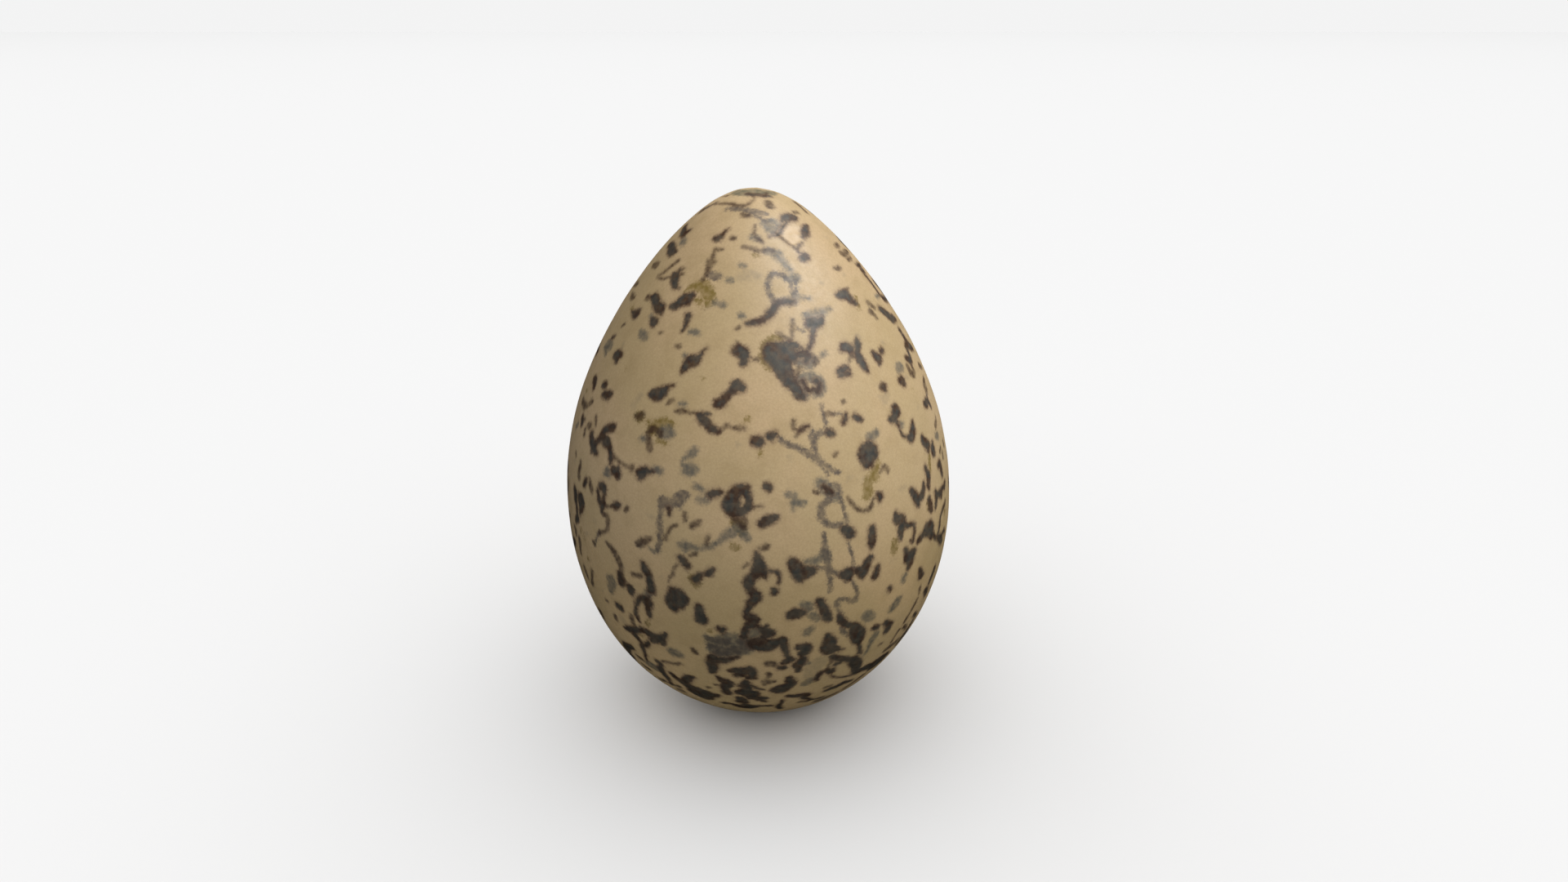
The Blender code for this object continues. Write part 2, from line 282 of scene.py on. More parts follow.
    ((23.3, 23.9, 0.34), (24.4, 23.8, 0.54), (25.4, 23.8, 0.48), (24.9, 23.3, 0.38)),
    ((28, 23.9, 0.38), (29, 23.7, 0.54), (30.2, 24.0, 0.48), (30.8, 24.4, 0.44), (31.8, 24.8, 0.32)),
    ((29, 23.3, 0.42), (29.9, 23.5, 0.42)),
    # low on the left
    ((-44.5, 12.4, 0.36), (-46.5, 12.1, 0.48), (-49, 11.7, 0.58), (-49.5, 11.2, 0.52),
     (-51.5, 10.9, 0.5), (-51, 10.1, 0.52)),
    ((-51, 10.1, 0.52), (-52.5, 9.3, 0.58), (-55, 8.9, 0.5)),
    ((-58.5, 14.5, 0.33), (-60.5, 14.2, 0.3), (-58.7, 13.8, 0.28)),
    ((-26.3, 16.8, 0.24), (-27.5, 16.3, 0.4), (-29, 15.9, 0.5), (-31, 15.9, 0.52), (-33.3, 16.2, 0.4),
     (-35.2, 16.3, 0.28)),
    ((-28.2, 15.4, 0.36), (-28.6, 15.8, 0.38)),
    ((-30.5, 15.5, 0.38), (-32.3, 15.3, 0.34)),
    ((-35.5, 16.0, 0.3), (-37.6, 15.9, 0.4), (-39.2, 15.6, 0.46), (-41, 15.4, 0.42),
     (-43.4, 15.2, 0.2)),
    ((-39.5, 15.1, 0.34), (-38.5, 14.7, 0.3), (-37.5, 14.3, 0.3), (-36.4, 14.0, 0.26),
     (-35, 14.2, 0.28), (-34, 14.7, 0.22)),
    ((-37.4, 13.9, 0.28), (-37.9, 13.5, 0.3), (-37.9, 12.8, 0.22), (-38.4, 12.1, 0.18),
     (-39.3, 11.4, 0.16)),
    ((-33.4, 12.1, 0.34), (-32.6, 11.8, 0.34), (-33.3, 11.3, 0.32), (-33.8, 10.8, 0.42),
     (-33.9, 10.1, 0.38), (-33.6, 9.4, 0.32)),
    ((-33.7, 9.4, 0.26), (-33.8, 8.6, 0.24), (-34.6, 8.0, 0.28)),
    ((-29.9, 10.8, 0.26), (-29, 10.4, 0.33), (-28, 10.0, 0.38), (-26.6, 9.6, 0.48), (-25, 9.2, 0.58),
     (-23, 8.7, 0.76)),
    ((-23, 8.7, 0.85), (-21, 8.4, 0.95), (-19, 8.3, 0.85), (-17, 8.25, 0.64), (-15.6, 8.4, 0.4),
     (-14.6, 8.5, 0.2)),
    ((-25, 8.1, 0.56), (-23, 7.5, 0.56), (-21, 7.1, 0.48), (-19, 7.5, 0.56)),
    ((-25.2, 10.0, 0.5), (-24, 10.6, 0.48), (-22.8, 11.0, 0.44), (-21.4, 11.2, 0.3)),
    # low in the middle
    ((-12.8, 15.0, 0.5), (-13.1, 14.4, 0.58), (-13.1, 13.8, 0.6), (-13.4, 13.2, 0.48),
     (-13.9, 12.8, 0.28)),
    ((-12, 14.7, 0.54), (-10.3, 14.7, 0.46), (-9, 14.8, 0.36), (-7.5, 15.0, 0.28), (-6, 15.3, 0.2),
     (-5, 15.4, 0.14)),
    ((-0.5, 17.2, 0.72), (1.5, 17.1, 0.85), (3.5, 17.0, 0.75), (5.4, 17.2, 0.52), (6.9, 17.5, 0.46),
     (7.4, 17.1, 0.4), (7.8, 16.6, 0.32)),
    ((7.6, 16.6, 0.3), (8.1, 16.1, 0.24), (8.6, 15.6, 0.24), (9, 15.2, 0.28), (9.3, 14.85, 0.36),
     (8.2, 14.6, 0.33)),
    ((8.2, 14.6, 0.33), (7.6, 14.45, 0.24)),
    ((9.4, 14.7, 0.33), (10.6, 14.75, 0.28)),
    ((7.8, 13.8, 0.34), (6.5, 13.85, 0.28)),
    ((-12.2, 12.1, 0.22), (-11.5, 11.8, 0.38), (-10.4, 11.5, 0.5), (-9.2, 11.3, 0.5),
     (-9.2, 10.9, 0.4), (-10.2, 10.8, 0.54)),
    ((-10.2, 10.8, 0.54), (-11, 10.4, 0.44), (-11, 9.9, 0.4), (-11.2, 9.4, 0.4), (-10.3, 9.2, 0.38),
     (-9.8, 9.5, 0.22)),
    ((-8, 13.3, 0.3), (-6, 13.4, 0.48), (-4.2, 13.3, 0.6), (-2.8, 13.4, 0.58), (-1.9, 13.7, 0.38),
     (-1.6, 13.1, 0.48)),
    ((-1.6, 13.1, 0.48), (-1.6, 12.6, 0.4), (-2.5, 12.4, 0.36), (-0.5, 12.2, 0.15)),
    ((-6.3, 12.7, 0.32), (-4.8, 12.8, 0.42)),
    ((-3.6, 11.6, 0.4), (-4, 11.1, 0.52), (-3.5, 10.6, 0.44), (-3.6, 10.1, 0.56), (-5, 9.8, 0.58),
     (-6.3, 9.7, 0.4)),
    ((-4, 10.9, 0.4), (-5.6, 10.9, 0.26)),
    ((-6.4, 9.5, 0.38), (-7, 9.8, 0.18)),
    ((-4, 9.3, 0.66), (-2.5, 9.4, 0.8), (-1, 9.4, 0.52), (-2.3, 8.8, 0.66), (-1, 8.6, 0.56),
     (0.8, 8.5, 0.46), (2.2, 8.4, 0.34)),
    ((0.3, 8.1, 0.38), (2, 7.75, 0.24), (3, 7.6, 0.12)),
    ((-6.6, 8.3, 0.48), (-6, 7.8, 0.56), (-7, 7.6, 0.5), (-5.6, 7.4, 0.48)),
    ((-2, 11.0, 0.18), (-0.8, 10.7, 0.19), (0.3, 10.4, 0.14), (1.5, 10.2, 0.13)),
    ((-14, 6.6, 0.26), (-12, 6.7, 0.28), (-10, 6.5, 0.28), (-8, 6.2, 0.48), (-6, 5.9, 0.56),
     (-4, 5.9, 0.56), (-2, 6.2, 0.38)),
    ((-2, 6.2, 0.38), (0, 6.4, 0.26), (2, 6.4, 0.23), (4.5, 6.4, 0.23)),
    ((-5.5, 6.7, 0.4), (-4.5, 6.4, 0.4)),
    # low on the right
    ((12.2, 16.4, 0.42), (13.9, 16.2, 0.58), (13.5, 15.7, 0.54), (13, 15.35, 0.38)),
    ((11.3, 16.6, 0.18), (12.3, 16.5, 0.2)),
    ((13.4, 14.6, 0.48), (12.6, 14.2, 0.46), (11.4, 13.9, 0.38), (12.2, 13.45, 0.34),
     (12.3, 13.05, 0.22)),
    ((20, 17.2, 0.42), (20.4, 16.8, 0.5), (20.8, 16.2, 0.72), (20.5, 15.7, 0.75), (21.6, 15.3, 0.64),
     (23, 15.3, 0.38)),
    ((23, 15.3, 0.36), (24.4, 15.0, 0.18), (25.8, 15.0, 0.08)),
    ((22.5, 14.4, 0.3), (24, 13.9, 0.36), (25.6, 13.6, 0.36), (27.5, 13.3, 0.34), (29.5, 13.0, 0.4),
     (31, 12.8, 0.52)),
    ((31, 12.8, 0.52), (32, 12.2, 0.62), (33, 11.6, 0.7), (33.9, 11.1, 0.62), (34, 10.6, 0.56),
     (34.8, 10.2, 0.48)),
    ((30.3, 12.2, 0.3), (31.5, 12.0, 0.4)),
    ((34.8, 10.2, 0.48), (36.5, 10.0, 0.48), (38.5, 10.1, 0.56), (40.5, 10.0, 0.58), (42.5, 9.9, 0.6),
     (44.5, 10.1, 0.62), (46.5, 10.1, 0.66)),
    ((46.5, 10.1, 0.66), (48.5, 10.2, 0.52), (50, 10.0, 0.48), (47, 9.4, 0.62), (44, 9.2, 0.56)),
    ((26.6, 17.9, 0.3), (28, 17.6, 0.52), (28.6, 17.1, 0.7), (29.4, 16.6, 0.85), (30.2, 16.1, 0.8),
     (30.4, 15.6, 0.58)),
    ((29.6, 15.9, 0.56), (30.8, 15.2, 0.3), (31.6, 14.4, 0.2), (32.3, 13.7, 0.24), (33, 13.35, 0.14)),
    ((35.6, 16.5, 0.36), (36.8, 16.4, 0.34)),
    ((39.8, 16.6, 0.28), (40.9, 16.2, 0.34), (42, 15.8, 0.46), (41.5, 15.2, 0.4)),
    ((42.4, 15.8, 0.25), (43.1, 15.9, 0.12)),
    ((20.4, 12.2, 0.26), (19.6, 11.8, 0.33), (19.1, 11.2, 0.26), (19.6, 10.9, 0.12)),
    ((21.5, 12.3, 0.26), (22.9, 12.0, 0.38), (24, 11.7, 0.26), (23.8, 12.2, 0.26)),
    ((24.4, 12.9, 0.26), (26, 13.0, 0.16)),
    ((24, 11.2, 0.1), (25.5, 10.7, 0.11), (27.5, 10.4, 0.11), (29.5, 10.1, 0.11), (31.5, 9.9, 0.14),
     (33.5, 9.85, 0.18)),
    ((9.8, 12.1, 0.34), (10, 11.7, 0.46), (10.6, 11.4, 0.48), (10.6, 11.0, 0.54), (9.4, 10.6, 0.58),
     (7.6, 10.4, 0.58), (6.1, 10.2, 0.52)),
    ((5.1, 10.1, 0.38), (6.8, 9.8, 0.48), (8.5, 9.9, 0.48)),
    ((10.6, 8.6, 0.32), (12.6, 8.5, 0.42), (14, 8.4, 0.4), (15.4, 8.4, 0.46), (17, 8.3, 0.46),
     (17.8, 8.0, 0.4)),
    ((17.5, 8.0, 0.33), (16.6, 7.75, 0.33), (18, 7.4, 0.28), (19, 7.1, 0.24), (21, 6.6, 0.24),
     (23, 6.5, 0.24), (26, 6.4, 0.26)),
    ((8.8, 7.8, 0.14), (8.5, 7.2, 0.18), (8, 6.5, 0.24), (8, 5.7, 0.28), (9, 5.2, 0.28)),
    ((25, 8.15, 0.26), (27, 8.3, 0.38), (29, 8.3, 0.38), (30.6, 8.45, 0.46), (32, 8.6, 0.46),
     (33.5, 8.5, 0.33), (35.5, 8.4, 0.26)),
    ((25, 5.5, 0.38), (27, 5.5, 0.38), (29, 5.7, 0.38), (31, 6.0, 0.28), (33, 6.2, 0.26)),
    ((57, 14.6, 0.26), (58, 14.3, 0.28), (59.5, 14.0, 0.26)),
    ((58.5, 13.2, 0.34), (57.5, 12.4, 0.46), (56, 11.7, 0.46), (55, 11.0, 0.42)),
    # the far left edge
    ((-64.4, 27.7, 0.42), (-63.4, 27.3, 0.54), (-63.2, 26.8, 0.5)),
    ((-60, 27.5, 0.5), (-58.6, 27.2, 0.8), (-58.5, 26.6, 0.5), (-59.6, 25.8, 0.18)),
    ((-62.4, 26.4, 0.3), (-61.8, 25.6, 0.26), (-61.6, 25.0, 0.4), (-62.4, 24.8, 0.36),
     (-63.3, 24.4, 0.2)),
    ((-67.5, 21.5, 0.36), (-70, 20.9, 0.46), (-72, 20.2, 0.38)),
    ((-74, 27.2, 0.36), (-74, 26.5, 0.36), (-74.4, 26.0, 0.25)),
    ((-77, 28.5, 0.36), (-76, 28.1, 0.36)),
    ((-43.6, 17.95, 0.4), (-42.5, 17.9, 0.44)),
    ((8.5, 46.35, 0.28), (10.5, 46.8, 0.3), (13, 47.05, 0.24), (16, 47.05, 0.2), (19.5, 47.1, 0.18)),
    ((17.2, 40.9, 0.24), (17.8, 40.5, 0.2), (18.6, 40.2, 0.18)),
    ((-50.6, 34.3, 0.34), (-49.2, 34.2, 0.5), (-47.8, 34.2, 0.44), (-46.6, 33.9, 0.3)),
    ((22.8, 19.4, 0.18), (23.4, 19.0, 0.34), (24.2, 18.6, 0.36), (25.3, 18.2, 0.3), (26.4, 17.9, 0.28)),
    ((7.5, 43.3, 0.9), (9.5, 43.0, 1.1), (10.6, 42.4, 0.9), (11, 41.8, 0.7)),
    ((10.8, 41.6, 0.5), (11.6, 41.0, 0.4)),
    ((89, 54.0, 0.12), (83.4, 53.7, 0.16), (80, 53.2, 0.12)),
    ((-81, 53.1, 0.1), (-78, 53.6, 0.12), (-71, 54.1, 0.1)),
    ((-20, 55.05, 0.08), (5, 54.98, 0.12), (24, 54.9, 0.14), (44, 54.85, 0.16)),
]

# Dark brown pigment: thinner strokes, tails and specks
UMBER = [
    ((-67, 54.0, 0.06), (-48, 54.25, 0.12), (-27, 54.28, 0.14), (-15, 54.23, 0.16), (-5, 54.4, 0.12),
     (0, 54.65, 0.09)),
    ((-12, 53.65, 0.18), (-8, 53.55, 0.25), (-4, 53.55, 0.16)),
    ((27.6, 54.2, 0.36), (28.8, 54.45, 0.36)),
    ((55, 53.5, 0.13), (60, 53.4, 0.13)),
    ((22, 52.05, 0.1), (24, 51.8, 0.12), (26.6, 51.4, 0.1), (29, 51.1, 0.12), (32, 50.92, 0.14),
     (35, 51.1, 0.12)),
    ((35, 51.1, 0.12), (38.4, 51.3, 0.12)),
    ((3.3, 52.8, 0.08), (2, 52.3, 0.1), (4.3, 51.86, 0.12), (8, 51.6, 0.1)),
    ((-6, 51.25, 0.1), (0, 51.15, 0.13), (5.7, 50.97, 0.14), (11, 51.0, 0.16), (14, 50.9, 0.16)),
    ((-20.8, 50.97, 0.06), (-24, 50.9, 0.1), (-26.5, 50.85, 0.14), (-26, 50.3, 0.18),
     (-26, 49.95, 0.3), (-26, 49.4, 0.15)),
    ((-26, 49.4, 0.15), (-26.5, 48.9, 0.15), (-27, 48.65, 0.14)),
    ((-28.5, 50.05, 0.1), (-26, 49.95, 0.2), (-23.5, 49.95, 0.1)),
    ((-16.3, 51.83, 0.15), (-14.3, 51.85, 0.2)),
    ((-85, 53.3, 0.18), (-82, 53.4, 0.14)),
    ((-77, 54.75, 0.1), (-84, 54.6, 0.1)),
    ((-15, 55.08, 0.06), (0, 55.06, 0.08), (14, 55.04, 0.1), (28, 54.98, 0.1), (46, 55.02, 0.08),
     (57, 55.05, 0.06)),
    ((1, 54.88, 0.08), (2.5, 54.84, 0.08)),
    ((-74.5, 48.5, 0.3), (-71.5, 48.6, 0.38), (-69, 48.7, 0.26)),
    ((-60, 48.1, 0.1), (-57, 48.4, 0.1), (-55, 48.8, 0.12), (-53, 49.3, 0.12), (-50.5, 49.6, 0.09)),
    ((-60, 47.95, 0.06), (-55, 48.0, 0.07), (-52, 48.2, 0.06), (-48, 48.45, 0.08)),
    ((-42, 48.75, 0.08), (-40.8, 48.78, 0.06)),
    ((-58.7, 46.2, 0.15), (-57.4, 46.25, 0.28), (-56.5, 46.35, 0.12)),
    ((-77.5, 45.7, 0.13), (-75, 45.65, 0.28), (-72, 45.6, 0.24), (-70, 45.7, 0.1)),
    ((-85, 46.2, 0.2), (-80, 46.4, 0.2), (-77.5, 46.6, 0.08)),
    ((-65.8, 43.35, 0.1), (-64.8, 43.6, 0.1)),
    ((-30, 47.35, 0.15), (-28.8, 47.45, 0.08)),
    ((-29.8, 43.4, 0.12), (-28.7, 43.4, 0.13)),
    ((-39.6, 44.1, 0.08), (-38.8, 44.2, 0.08)),
    ((-5.8, 44.1, 0.08), (-5, 43.95, 0.1)),
    ((0.9, 42.85, 0.12), (1.7, 42.85, 0.12)),
    ((-6.5, 45.15, 0.08), (-5.5, 45.3, 0.1)),
    ((49.5, 47.15, 0.15), (51.5, 47.2, 0.12), (54, 47.3, 0.05)),
    ((20.5, 43.0, 0.14), (22.3, 42.95, 0.14), (23.2, 42.6, 0.17), (22.8, 42.2, 0.18)),
    ((15, 41.5, 0.12), (15.6, 41.7, 0.18), (16.6, 42.05, 0.14)),
    ((14.8, 44.1, 0.18), (15.8, 44.5, 0.1), (16.2, 45.0, 0.12), (16.8, 45.4, 0.16), (17.3, 45.75, 0.1)),
    ((10.4, 44.85, 0.1), (12.3, 44.55, 0.1), (14.3, 44.2, 0.14)),
    ((38.8, 42.6, 0.15), (38, 42.3, 0.12), (36.6, 41.95, 0.07)),
    ((38.5, 42.25, 0.1), (40.3, 42.15, 0.14)),
    ((70, 50.25, 0.15), (73.5, 50.3, 0.28), (77, 50.3, 0.16)),
    ((69.3, 49.75, 0.2), (71.5, 49.6, 0.28), (74, 49.35, 0.18)),
    ((76, 49.65, 0.18), (79, 49.5, 0.3), (83, 49.5, 0.2)),
    ((72, 49.1, 0.12), (76, 49.0, 0.14), (79, 49.0, 0.12)),
    ((61.5, 45.7, 0.15), (63, 45.4, 0.22), (64.6, 45.1, 0.18)),
    ((59.3, 44.9, 0.2), (60.6, 44.9, 0.24), (61.2, 44.5, 0.18), (62, 44.25, 0.1)),
    ((52.5, 48.95, 0.08), (55, 48.85, 0.2), (57.3, 48.9, 0.1)),
    ((66.4, 39.6, 0.26), (66.7, 39.0, 0.28), (68, 38.7, 0.34), (69.6, 38.9, 0.34), (70, 39.3, 0.2)),
    ((38.4, 42.5, 0.24), (37.4, 42.3, 0.16), (36.2, 42.0, 0.08)),
    ((38.5, 42.3, 0.2), (40.6, 42.25, 0.24)),
    ((-73.5, 35.65, 0.3), (-71, 35.6, 0.34), (-68.5, 35.6, 0.36), (-66.8, 35.8, 0.24)),
    ((-65, 36.2, 0.2), (-64.2, 36.45, 0.28), (-63.4, 36.6, 0.16)),
    ((-61.3, 34.4, 0.2), (-60.2, 34.5, 0.26), (-59.5, 34.8, 0.1)),
    ((-63, 33.95, 0.15), (-62.8, 33.5, 0.2)),
    ((-57.8, 35.75, 0.12), (-57, 35.35, 0.14), (-56.5, 35.0, 0.1)),
    ((-45, 33.4, 0.1), (-43, 33.2, 0.13), (-41, 33.05, 0.11), (-39.5, 32.95, 0.11),
     (-37.5, 32.9, 0.13), (-36.3, 32.95, 0.2)),
    ((-36.3, 32.95, 0.2), (-36.1, 32.65, 0.1)),
    ((-61.5, 30.8, 0.2), (-61.3, 30.3, 0.28), (-61.8, 29.9, 0.28), (-61.5, 29.5, 0.34),
     (-61, 29.4, 0.24)),
    ((-54.2, 30.1, 0.14), (-53.4, 29.7, 0.28), (-52.4, 29.3, 0.32)),
    ((-66.6, 31.1, 0.12), (-66.2, 31.0, 0.1)),
    ((-27.6, 38.95, 0.1), (-26.9, 39.1, 0.14), (-26, 39.2, 0.08)),
    ((-24.3, 38.4, 0.08), (-22.5, 38.45, 0.16), (-20.8, 38.5, 0.09)),
    ((-19.5, 38.5, 0.06), (-17, 38.5, 0.07), (-16.4, 38.4, 0.12)),
    ((-10.3, 37.2, 0.12), (-9.5, 37.2, 0.07), (-8.5, 37.5, 0.09), (-7.5, 37.7, 0.1), (-6, 37.6, 0.08),
     (-4, 37.5, 0.14)),
    ((-4, 37.5, 0.14), (-2.6, 37.5, 0.15)),
    ((-38, 37.2, 0.26), (-36.8, 37.3, 0.34), (-35.5, 37.6, 0.14)),
    ((-31.9, 35.8, 0.24), (-31.5, 35.4, 0.32), (-31.3, 35.0, 0.3)),
    ((-32.4, 36.2, 0.24), (-31.2, 36.6, 0.3), (-29.4, 36.6, 0.24), (-28.2, 36.3, 0.24)),
    ((0, 31.1, 0.08), (1.5, 31.15, 0.11), (2.4, 31.15, 0.07)),
    ((-4.4, 29.9, 0.3), (-3, 29.75, 0.42), (-2.4, 29.4, 0.32)),
    ((-18.4, 30.0, 0.18), (-18, 29.5, 0.2)),
    ((-16, 29.0, 0.2), (-15, 29.3, 0.28), (-14.2, 29.5, 0.18)),
    ((-37.2, 28.85, 0.1), (-36.5, 29.1, 0.18), (-36.2, 29.35, 0.08)),
    ((-24, 27.3, 0.1), (-23, 28.0, 0.11), (-22, 28.6, 0.09), (-20.5, 28.9, 0.08)),
    ((-32.2, 26.2, 0.26), (-31, 26.5, 0.36), (-29.6, 26.8, 0.26), (-28.4, 27.1, 0.14)),
    ((-12.2, 27.5, 0.14), (-11.8, 28.2, 0.1)),
    ((-16.5, 26.2, 0.13), (-15, 26.4, 0.11)),
    ((-20.3, 25.0, 0.08), (-21, 24.8, 0.09), (-21.7, 24.3, 0.11), (-21.8, 24.0, 0.11),
     (-22.5, 23.6, 0.09), (-23, 23.2, 0.08)),
    ((1.4, 27.3, 0.09), (2.7, 27.4, 0.22), (3.3, 27.5, 0.17)),
    ((-2.6, 25.5, 0.08), (-1.7, 25.8, 0.09)),
    ((-35, 22.7, 0.16), (-33.5, 22.8, 0.18), (-32, 22.9, 0.18)),
    ((-38, 17.5, 0.26), (-38.3, 17.1, 0.32), (-38.2, 16.7, 0.28)),
    ((-44.4, 27.6, 0.22), (-44, 27.1, 0.28), (-44, 26.5, 0.22), (-44.8, 26.1, 0.14),
     (-46, 25.8, 0.11), (-47.5, 25.5, 0.18)),
    ((-45.6, 27.6, 0.14), (-44.4, 27.6, 0.2)),
    ((-50.5, 23.9, 0.16), (-51.5, 24.0, 0.1)),
    ((-65.5, 23.6, 0.22), (-64.3, 23.3, 0.28), (-64.8, 22.8, 0.22)),
    ((-61.3, 22.8, 0.28), (-61.3, 22.2, 0.28), (-61.8, 21.5, 0.22), (-62, 21.1, 0.16)),
    ((-54.5, 20.3, 0.2), (-55, 19.9, 0.22), (-55.8, 19.3, 0.16), (-56.5, 18.6, 0.28),
     (-57, 18.3, 0.25)),
    ((-61, 19.6, 0.22), (-60.5, 19.1, 0.28), (-59.8, 18.7, 0.25)),
    ((-72.3, 23.7, 0.28), (-71, 23.9, 0.14)),
    ((-49.6, 17.65, 0.12), (-49, 17.6, 0.13)),
    ((12.4, 38.0, 0.11), (12.2, 37.4, 0.14)),
    ((12.8, 36.8, 0.11), (14.2, 37.15, 0.16)),
    ((23.6, 34.8, 0.1), (24.2, 34.95, 0.11)),
    ((29.3, 38.9, 0.08), (29.8, 39.0, 0.08)),
    ((23.4, 38.2, 0.12), (24.4, 38.2, 0.17), (25.3, 38.15, 0.1)),
    ((26, 30.95, 0.1), (27, 30.5, 0.11), (28, 30.0, 0.12), (29.5, 29.6, 0.11), (31, 29.45, 0.11),
     (32.5, 29.5, 0.14)),
    ((32.5, 29.5, 0.14), (33.3, 29.8, 0.16), (33.7, 30.2, 0.11), (34.8, 30.25, 0.06)),
    ((16.7, 32.05, 0.18), (17.5, 32.0, 0.12)),
    ((37.7, 32.5, 0.08), (39, 32.75, 0.14), (40.3, 32.5, 0.18), (40.3, 32.2, 0.08)),
    ((79, 38.6, 0.2), (80.5, 38.4, 0.28), (82, 38.2, 0.2)),
    ((73.8, 36.9, 0.22), (75.5, 37.1, 0.28), (77.5, 37.35, 0.2)),
    ((74, 36.6, 0.2), (76.2, 36.6, 0.2)),
    ((72, 33.2, 0.25), (74, 33.4, 0.22), (75.2, 33.7, 0.12)),
    ((73.5, 29.8, 0.26), (73.8, 30.2, 0.18)),
    ((71, 30.7, 0.18), (72.5, 30.9, 0.12)),
    ((78, 30.8, 0.25), (78, 30.4, 0.26)),
    ((54.3, 18.4, 0.18), (54.7, 18.0, 0.13), (54.8, 17.6, 0.09)),
    ((50.8, 14.8, 0.26), (51.5, 15.4, 0.18), (52.5, 15.8, 0.18), (53.5, 16.4, 0.26),
     (54.5, 16.9, 0.22)),
    ((46, 11.6, 0.34), (48, 11.7, 0.38), (50, 11.8, 0.34), (52, 11.8, 0.3)),
    ((47.5, 12.5, 0.13), (48, 13.3, 0.13), (48.7, 13.8, 0.22), (49.5, 14.0, 0.12)),
    ((51.5, 13.9, 0.22), (53, 13.6, 0.28), (54.5, 13.2, 0.22)),
    ((40.5, 13.45, 0.14), (41.2, 13.4, 0.17)),
    ((3.4, 14.4, 0.36), (4.6, 14.4, 0.36)),
    ((3.5, 12.9, 0.26), (3.3, 12.4, 0.1)),
    ((2, 11.7, 0.24), (3.5, 11.7, 0.28), (2.5, 11.4, 0.24), (2.2, 11.1, 0.17)),
    ((4.6, 11.65, 0.1), (5.4, 11.6, 0.13)),
    ((-18.4, 15.65, 0.17), (-17.8, 15.4, 0.26), (-17, 15.2, 0.12)),
    ((-31.5, 12.35, 0.1), (-30, 12.6, 0.13), (-27, 12.7, 0.13), (-25, 12.85, 0.13),
     (-23.7, 13.0, 0.08)),
    ((-46.8, 16.1, 0.24), (-46.9, 15.8, 0.24)),
    ((-44.5, 11.1, 0.26), (-42.5, 11.0, 0.26)),
    ((-44.5, 9.5, 0.34), (-42.5, 9.4, 0.34)),
    ((-30, 8.4, 0.2), (-31.5, 8.1, 0.22)),
    ((-33, 7.1, 0.3), (-31, 7.2, 0.36)),
    ((-40, 8.0, 0.34), (-37, 8.2, 0.26)),
    ((16, 6.6, 0.18), (18, 6.5, 0.18), (20, 6.3, 0.18)),
    ((24, 9.0, 0.17), (26, 9.0, 0.17)),
    ((-13.9, 10.6, 0.11), (-13.4, 10.65, 0.11)),
    ((-17.5, 9.75, 0.15), (-16.7, 9.85, 0.12)),
    ((36, 6.6, 0.2), (38, 7.2, 0.26), (40, 7.8, 0.3), (42, 8.2, 0.3)),
    ((21.6, 12.7, 0.1), (22.5, 13.5, 0.1), (22.8, 13.9, 0.08)),
    ((-46, 28.5, 0.08), (-43.5, 28.65, 0.1), (-41.3, 28.9, 0.12)),
    ((-44.6, 24.9, 0.12), (-42.4, 24.5, 0.3), (-41, 24.1, 0.34), (-39.8, 23.6, 0.36),
     (-38.9, 22.9, 0.3)),
    ((-39, 22.6, 0.2), (-39.2, 22.0, 0.3), (-38.6, 21.6, 0.34), (-38, 21.2, 0.2)),
]

